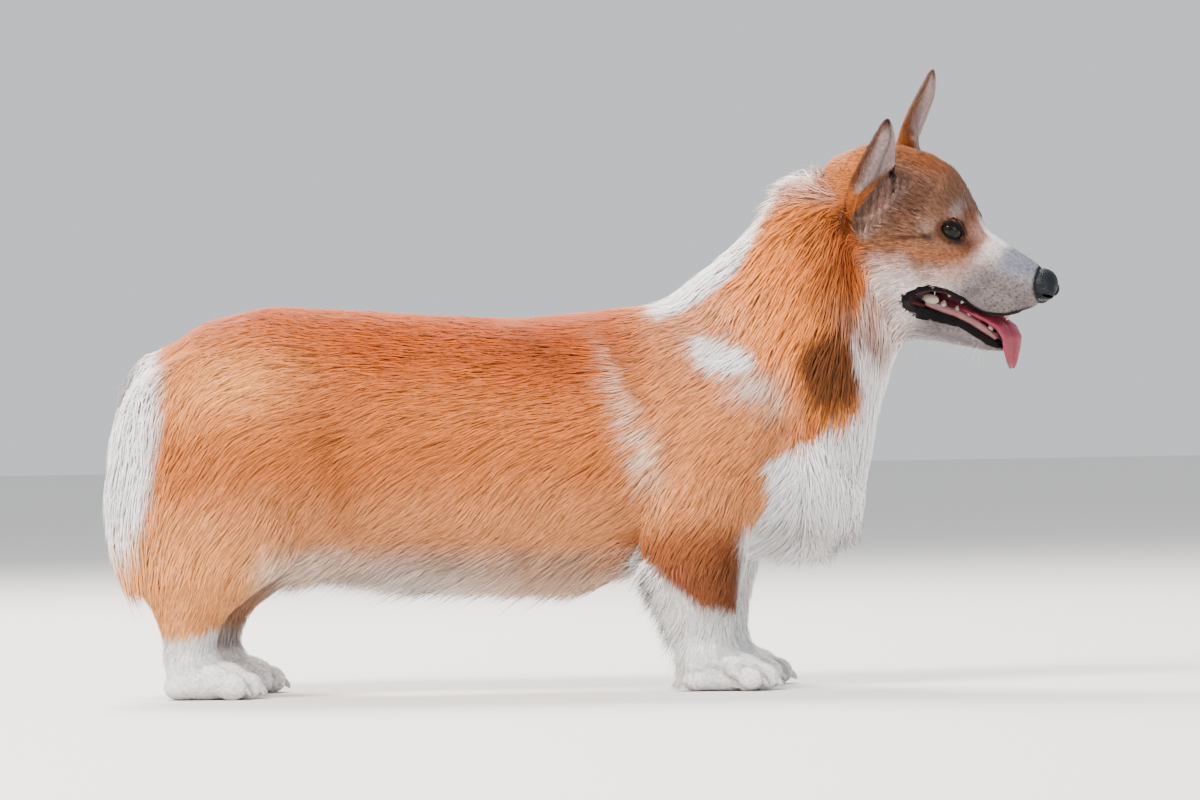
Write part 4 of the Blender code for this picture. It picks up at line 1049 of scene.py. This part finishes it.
# Eyes with lids
eyeLook = {"pupil": 3.8, "iris": 8.8, "bulge": .07, "opening": (10, 5.2), "rim": 1.5, "corner": 1.6,
           "drop": 1.3, "steps": 48, "ballTone": (.05, .035, .03), "irisTone": (.012, .006, .004),
           "pupilTone": (.002, .002, .002)}


def eyeRim(sign):  # the opening's edge on the eyeball, and the lid's thickness there
    rim, radii = [], []
    wide, high = eyeLook["opening"]
    for step in range(eyeLook["steps"]):
        turn = step / eyeLook["steps"] * 2 * math.pi
        level, rise = math.cos(turn), math.sin(turn)
        inner = max(0, -sign * level) ** 6
        x = level * (wide + eyeLook["corner"] * inner)
        y = rise * high * (.8 if rise < 0 else 1.1) * (1 - .25 * level ** 4)
        y -= eyeLook["drop"] * (inner + level ** 4)
        depth = math.sqrt(max((eye["radius"] + .5) ** 2 - x * x - y * y, 4))
        rim.append((x * .97, y * .97, depth))
        radii.append(eyeLook["rim"] * (.8 + .4 * max(0, rise)))
    return rim, radii


def makeEyes():
    for side, sign in sides.items():
        place = eyeFrame(sign)
        made = ball((0, 0, 0), (eye["radius"],) * 3, place=place, detail=(64, 48), name="eyeball_" + side)
        local = np.array([place.inverted() @ v.co for v in made.data.vertices]) / mm
        off = np.linalg.norm(local[:, :2], axis=1)
        front = local[:, 2] > 0
        bulge = 1 + eyeLook["bulge"] * ramp(off, 7.6, 2) * front
        for vert, value, grow in zip(made.data.vertices, local, bulge):
            vert.co = place @ (Vector(value) * grow * mm)
        rays = (1 + .5 * np.sin(np.arctan2(local[:, 1], local[:, 0]) * 37))[:, None]
        iris = np.clip(np.array(eyeLook["irisTone"]) * rays, .004, 1)
        colour = np.tile(eyeLook["ballTone"], (len(off), 1))
        colour = mix(colour, iris, ramp(off, eyeLook["iris"] + .5, eyeLook["iris"] - .4) * front)
        colour = mix(colour, np.array(eyeLook["pupilTone"]),
                     ramp(off, eyeLook["pupil"] + .3, eyeLook["pupil"] - .3) * front)
        paintPoints(made.data, "eyeColour", colour)
        settle(finish(made, "eye"), ["eye_" + side])
        lid = tube(*eyeRim(sign), place, 10, closed=True, name="lidRim_" + side)
        settle(finish(lid, "lips"))


# Nose, lips, tongue and teeth
padForms = [  # centre, radii, slope
    ((122.3, 0, 7.7), (11.3, 14, 11.9), 16), ((124, 0, .5), (6.5, 4.5, 6.5), 0)]
nostrilWing = ((127, 7.5, 5.5), (7.5, 6.8, 6.8), 20)  # centre, radii, turn
nostrils = [((134.5, 6, 5.7), (5.5, 2.9, 3.3), 25), ((130.5, 12, 3.6), (6, 4.5, 1.3), 50)]
noseGroove = ((135, 0, 2), (4, .7, 9))
mouthCorner = ((52.5, 26.3, -23.2), (6.2, 2.6, 3.5))  # the pale fold of the lip there


def makeNose():
    pad = [ball(centre, radii, (0, slope, 0), headFrame) for centre, radii, slope in padForms]
    holes = []
    for sign in sides.values():
        for forms, (centre, radii, turn) in zip((pad, holes, holes), (nostrilWing, *nostrils)):
            forms.append(ball(onSide(centre, sign), radii, (0, 0, sign * turn), headFrame))
    holes.append(ball(*noseGroove, place=headFrame))
    nose = cut(fuse(pad, "nosePad", .8, 5), holes)
    settle(finish(nose, "nose"), ["nose"])


def sideHit(u, sign, w, away):  # where a ray from that side meets the skin, in the head's frame
    outside = headFrame @ (Vector((u, sign * away, w)) * mm)
    hit, _, _, _ = surface.ray_cast(outside, headTurn @ Vector((0, -sign, 0)))
    return None if hit is None else headFrame.inverted() @ hit


lipBand = [  # along the head, height, half width, thickness, back on the upper lip and forward on the lower
    (113, -12.5, .9, 1), (102, -18.6, 1.2, 1.2), (91, -21.2, 1.4, 1.3), (80, -19, 1.5, 1.3),
    (71, -15.4, 1.7, 1.4), (62, -12.6, 2, 1.5), (53, -12.8, 2.3, 1.6), (45, -15.6, 2.7, 1.8),
    (39.5, -20.5, 3.2, 2), (37.6, -26, 3.8, 2.1), (40, -31.5, 4.6, 2.2), (46, -35, 5.2, 2.3),
    (55, -36.2, 5.4, 2.4), (66, -36, 5.1, 2.4), (78, -36.2, 4.4, 2.3), (89, -39, 3.8, 2.2),
    (99, -41.8, 3.1, 2), (107, -43, 2.3, 1.6), (111, -43.2, 1.3, 1)]


def makeLips():
    pieces = []
    flat = [Vector((u, 0, w)) for u, w, _, _ in lipBand]
    for sign in sides.values():
        bm = bmesh.new()
        loops = []
        depth = 30
        for index, (u, w, half, thick) in enumerate(lipBand):
            way = flat[min(index + 1, len(flat) - 1)] - flat[max(index - 1, 0)]
            across = Vector((-way.z, 0, way.x)).normalized()
            hit = sideHit(u, sign, w, 90)
            if hit is not None:
                depth = abs(hit.y) / mm
            centre = Vector((u, sign * (depth - .4), w))
            loops.append(addRing(bm, 12, headFrame, lambda x, y: (
                centre + across * x * half + Vector((0, sign * y * thick, 0)))))
        pieces.append(joinRings(bm, loops, 12, "lip"))
    settle(finish(fuse(pieces, "lips", .55, 4), "lips"))


gumLine = [  # along the jaw, height, inset, radius
    (48, -27, 6, 3.4), (60, -28.5, 6, 3.6), (72, -29, 5.5, 3.4), (84, -31.5, 5, 3.2), (95, -35, 4.5, 3),
    (104, -38.5, 4, 2.4)]


def jawSide(u, inset):  # half width of the lower jaw there, less an inset
    return float(along([(ring[0], ring[3]) for ring in jawRings], u)) - inset


def makeGums():
    pieces = []
    for sign in sides.values():
        line = [(u, sign * jawSide(u, inset), w) for u, w, inset, _ in gumLine]
        pieces.append(tube(line, [radius for _, _, _, radius in gumLine], headFrame, 12))
    settle(finish(fuse(pieces, "gums", .9, 4), "gums"))


def makeTongue():
    rings = []
    for index, (x, z, y, half, thick) in enumerate(tongueRings):
        before, after = tongueRings[max(index - 1, 0)], tongueRings[min(index + 1, len(tongueRings) - 1)]
        way = Vector((after[0] - before[0], 0, after[1] - before[1])).normalized()
        rise = Vector((-way.z, 0, way.x)) * thick
        rings.append((x + rise.x, z + rise.z, x - rise.x, z - rise.z, y, half, 0))
    tongue = fuse([loft(rings, 24, headFrame @ tongueSkew)], "tongueFlesh", .9, 6)
    points = coordinates(tongue.data)
    q = toHead(points)
    off = (q[:, 1] - along([(80, -1), (120, -6)], q[:, 0])) / 2
    movePoints(tongue.data, points - normalsOf(tongue.data) * (np.exp(-off ** 2) * 1.2)[:, None])
    settle(finish(tongue, "tongue"), ["tongue"])


lowerTeeth = [  # along the jaw, height of the tip, length, radius
    [(54, -23, 6, 2.6), (61, -22.5, 6, 2.7), (71, -23.5, 5.5, 2.3), (80, -25.5, 5, 2.1), (88, -29, 4, 1.6)],
    [(97.5, -27, 10, 2.1)], [(103, -34.5, 5, 1.5)]]
upperTeeth = [  # along the jaw, height of the root, length, radius
    (108, -14, 9, 2), (64, -13, 6, 3), (74, -16, 5, 2.4)]


def makeTeeth():
    pieces = []
    for row in lowerTeeth:
        for sign in sides.values():
            for u, tip, length, radius in row:
                v = sign * jawSide(u, 5.4)
                point = (u - length * .06, v - sign * .3, tip)
                line = [(u, v, tip - length), (u, v, tip - length * .5), point]
                pieces.append(tube(line, [radius * .9, radius, radius * .22], headFrame, 12))
    for sign in sides.values():
        for u, root, length, radius in upperTeeth:
            v = sign * float(along([(60, 20), (110, 12)], u))
            line = [(u, v, root), (u, v, root - length * .5), (u - 1, v, root - length)]
            pieces.append(tube(line, [radius, radius * .85, radius * .2], headFrame, 12))
        pieces.append(ball(onSide(mouthCorner[0], sign), mouthCorner[1], (0, -8, 0), headFrame))
    settle(finish(fuse(pieces, "teeth", .45, 2), "teeth"))


whiskerRuns = {  # where they grow along the head and in height, how many, their reach and the way they go
    "chin": {"u": (62, 106), "w": (-52, -46), "count": 11, "reach": (9, 18), "way": (-.2, .35, -1)},
    "throat": {"u": (44, 60), "w": (-58, -54), "count": 4, "reach": (22, 40), "way": (-.25, .2, -1)}}


def makeWhiskers():
    draw = np.random.default_rng(9)
    pieces = []
    for sign in sides.values():
        for run in whiskerRuns.values():
            ahead, out, down = run["way"]
            for index in range(run["count"]):
                hit = sideHit(draw.uniform(*run["u"]), sign, draw.uniform(*run["w"]), 70)
                if hit is None:
                    continue
                base = hit / mm
                reach = draw.uniform(*run["reach"])
                way = Vector((ahead + draw.uniform(-.25, .25), sign * out, down)).normalized()
                bow = Vector((draw.uniform(-.1, .25), 0, -.1)) * reach
                steps = [(-1.5, 0), (reach * .35, 0), (reach * .7, .4), (reach, 1)]
                line = [base + way * length + bow * bend for length, bend in steps]
                pieces.append(tube(line, [.15, .13, .09, .03], headFrame, 5))
    settle(finish(joined(pieces, "whiskers"), "whiskers"))


clawSteps = [  # past the toe's tip, spread, height, radius
    (-6, 1.08, 8.4, 2.4), (-1, 1.1, 7.2, 2.3), (1, 1.12, 5, 1.7), (2.2, 1.14, 3, .5)]


def makeClaws():
    pieces = []
    for side in sides:
        for place in pawPlaces(side):
            for y, tip in toes:
                line = [(tip + past, y * spread, z) for past, spread, z, _ in clawSteps]
                pieces.append(tube(line, [radius for _, _, _, radius in clawSteps], place, 12, flat=.75))
    settle(finish(joined(pieces, "claws"), "claws"))


for make in (makeEyes, makeNose, makeLips, makeGums, makeTongue, makeTeeth, makeWhiskers, makeClaws):
    make()
    print(make.__name__)


# Studio
studioLights = {  # place, size, power, colour
    "key": ((-1.5, -2.0, 3.0), 1.6, 375, (1, .94, .86)), "back": ((-.9, 2.2, 2.8), 1.6, 330, (1, .93, .84)),
    "fill": ((2.6, -2.8, 1.2), 2.4, 70, (.86, .92, 1))}
cameraSizes = {"lens": 175, "sensor": 36, "distance": 4.2, "height": .18, "aim": (.01185, 0, .2084),
               "roll": 1.008}


def pointAt(made, place, target, roll=0):
    made.location = place
    made.rotation_mode = "QUATERNION"
    look = (target - made.location).to_track_quat("-Z", "Y")
    made.rotation_quaternion = look @ Quaternion((0, 0, 1), -math.radians(roll))


def makeStudio():
    bm = bmesh.new()
    bmesh.ops.create_grid(bm, x_segments=2, y_segments=2, size=40)
    floor = addObject("studioFloor", bm)
    made = bpy.data.materials.new("studioFloorPaint")
    made.use_nodes = True
    setInputs(made.node_tree.nodes["Principled BSDF"], Base_Color=(.78, .77, .76, 1), Roughness=.7)
    floor.data.materials.append(made)
    for name, (place, size, power, colour) in studioLights.items():
        light = addThing(name, bpy.data.lights.new(name, "AREA"))
        light.data.size = size
        light.data.energy = power
        light.data.color = colour
        pointAt(light, place, Vector((0, 0, .2)))
    world = bpy.data.worlds.new("studioWorld")
    world.use_nodes = True
    setInputs(world.node_tree.nodes["Background"], Color=(.93, .95, .98, 1), Strength=.84)
    bpy.context.scene.world = world


def makeCamera():
    camera = addThing("photoCamera", bpy.data.cameras.new("photoCamera"))
    camera.data.sensor_width = cameraSizes["sensor"]
    camera.data.lens = cameraSizes["lens"]
    camera.data.clip_end = 40
    aim = Vector(cameraSizes["aim"]) + shift
    place = (aim.x, aim.y - cameraSizes["distance"], cameraSizes["height"])
    pointAt(camera, place, aim, cameraSizes["roll"])
    bpy.context.scene.camera = camera


makeStudio()
makeCamera()
bpy.context.view_layer.update()
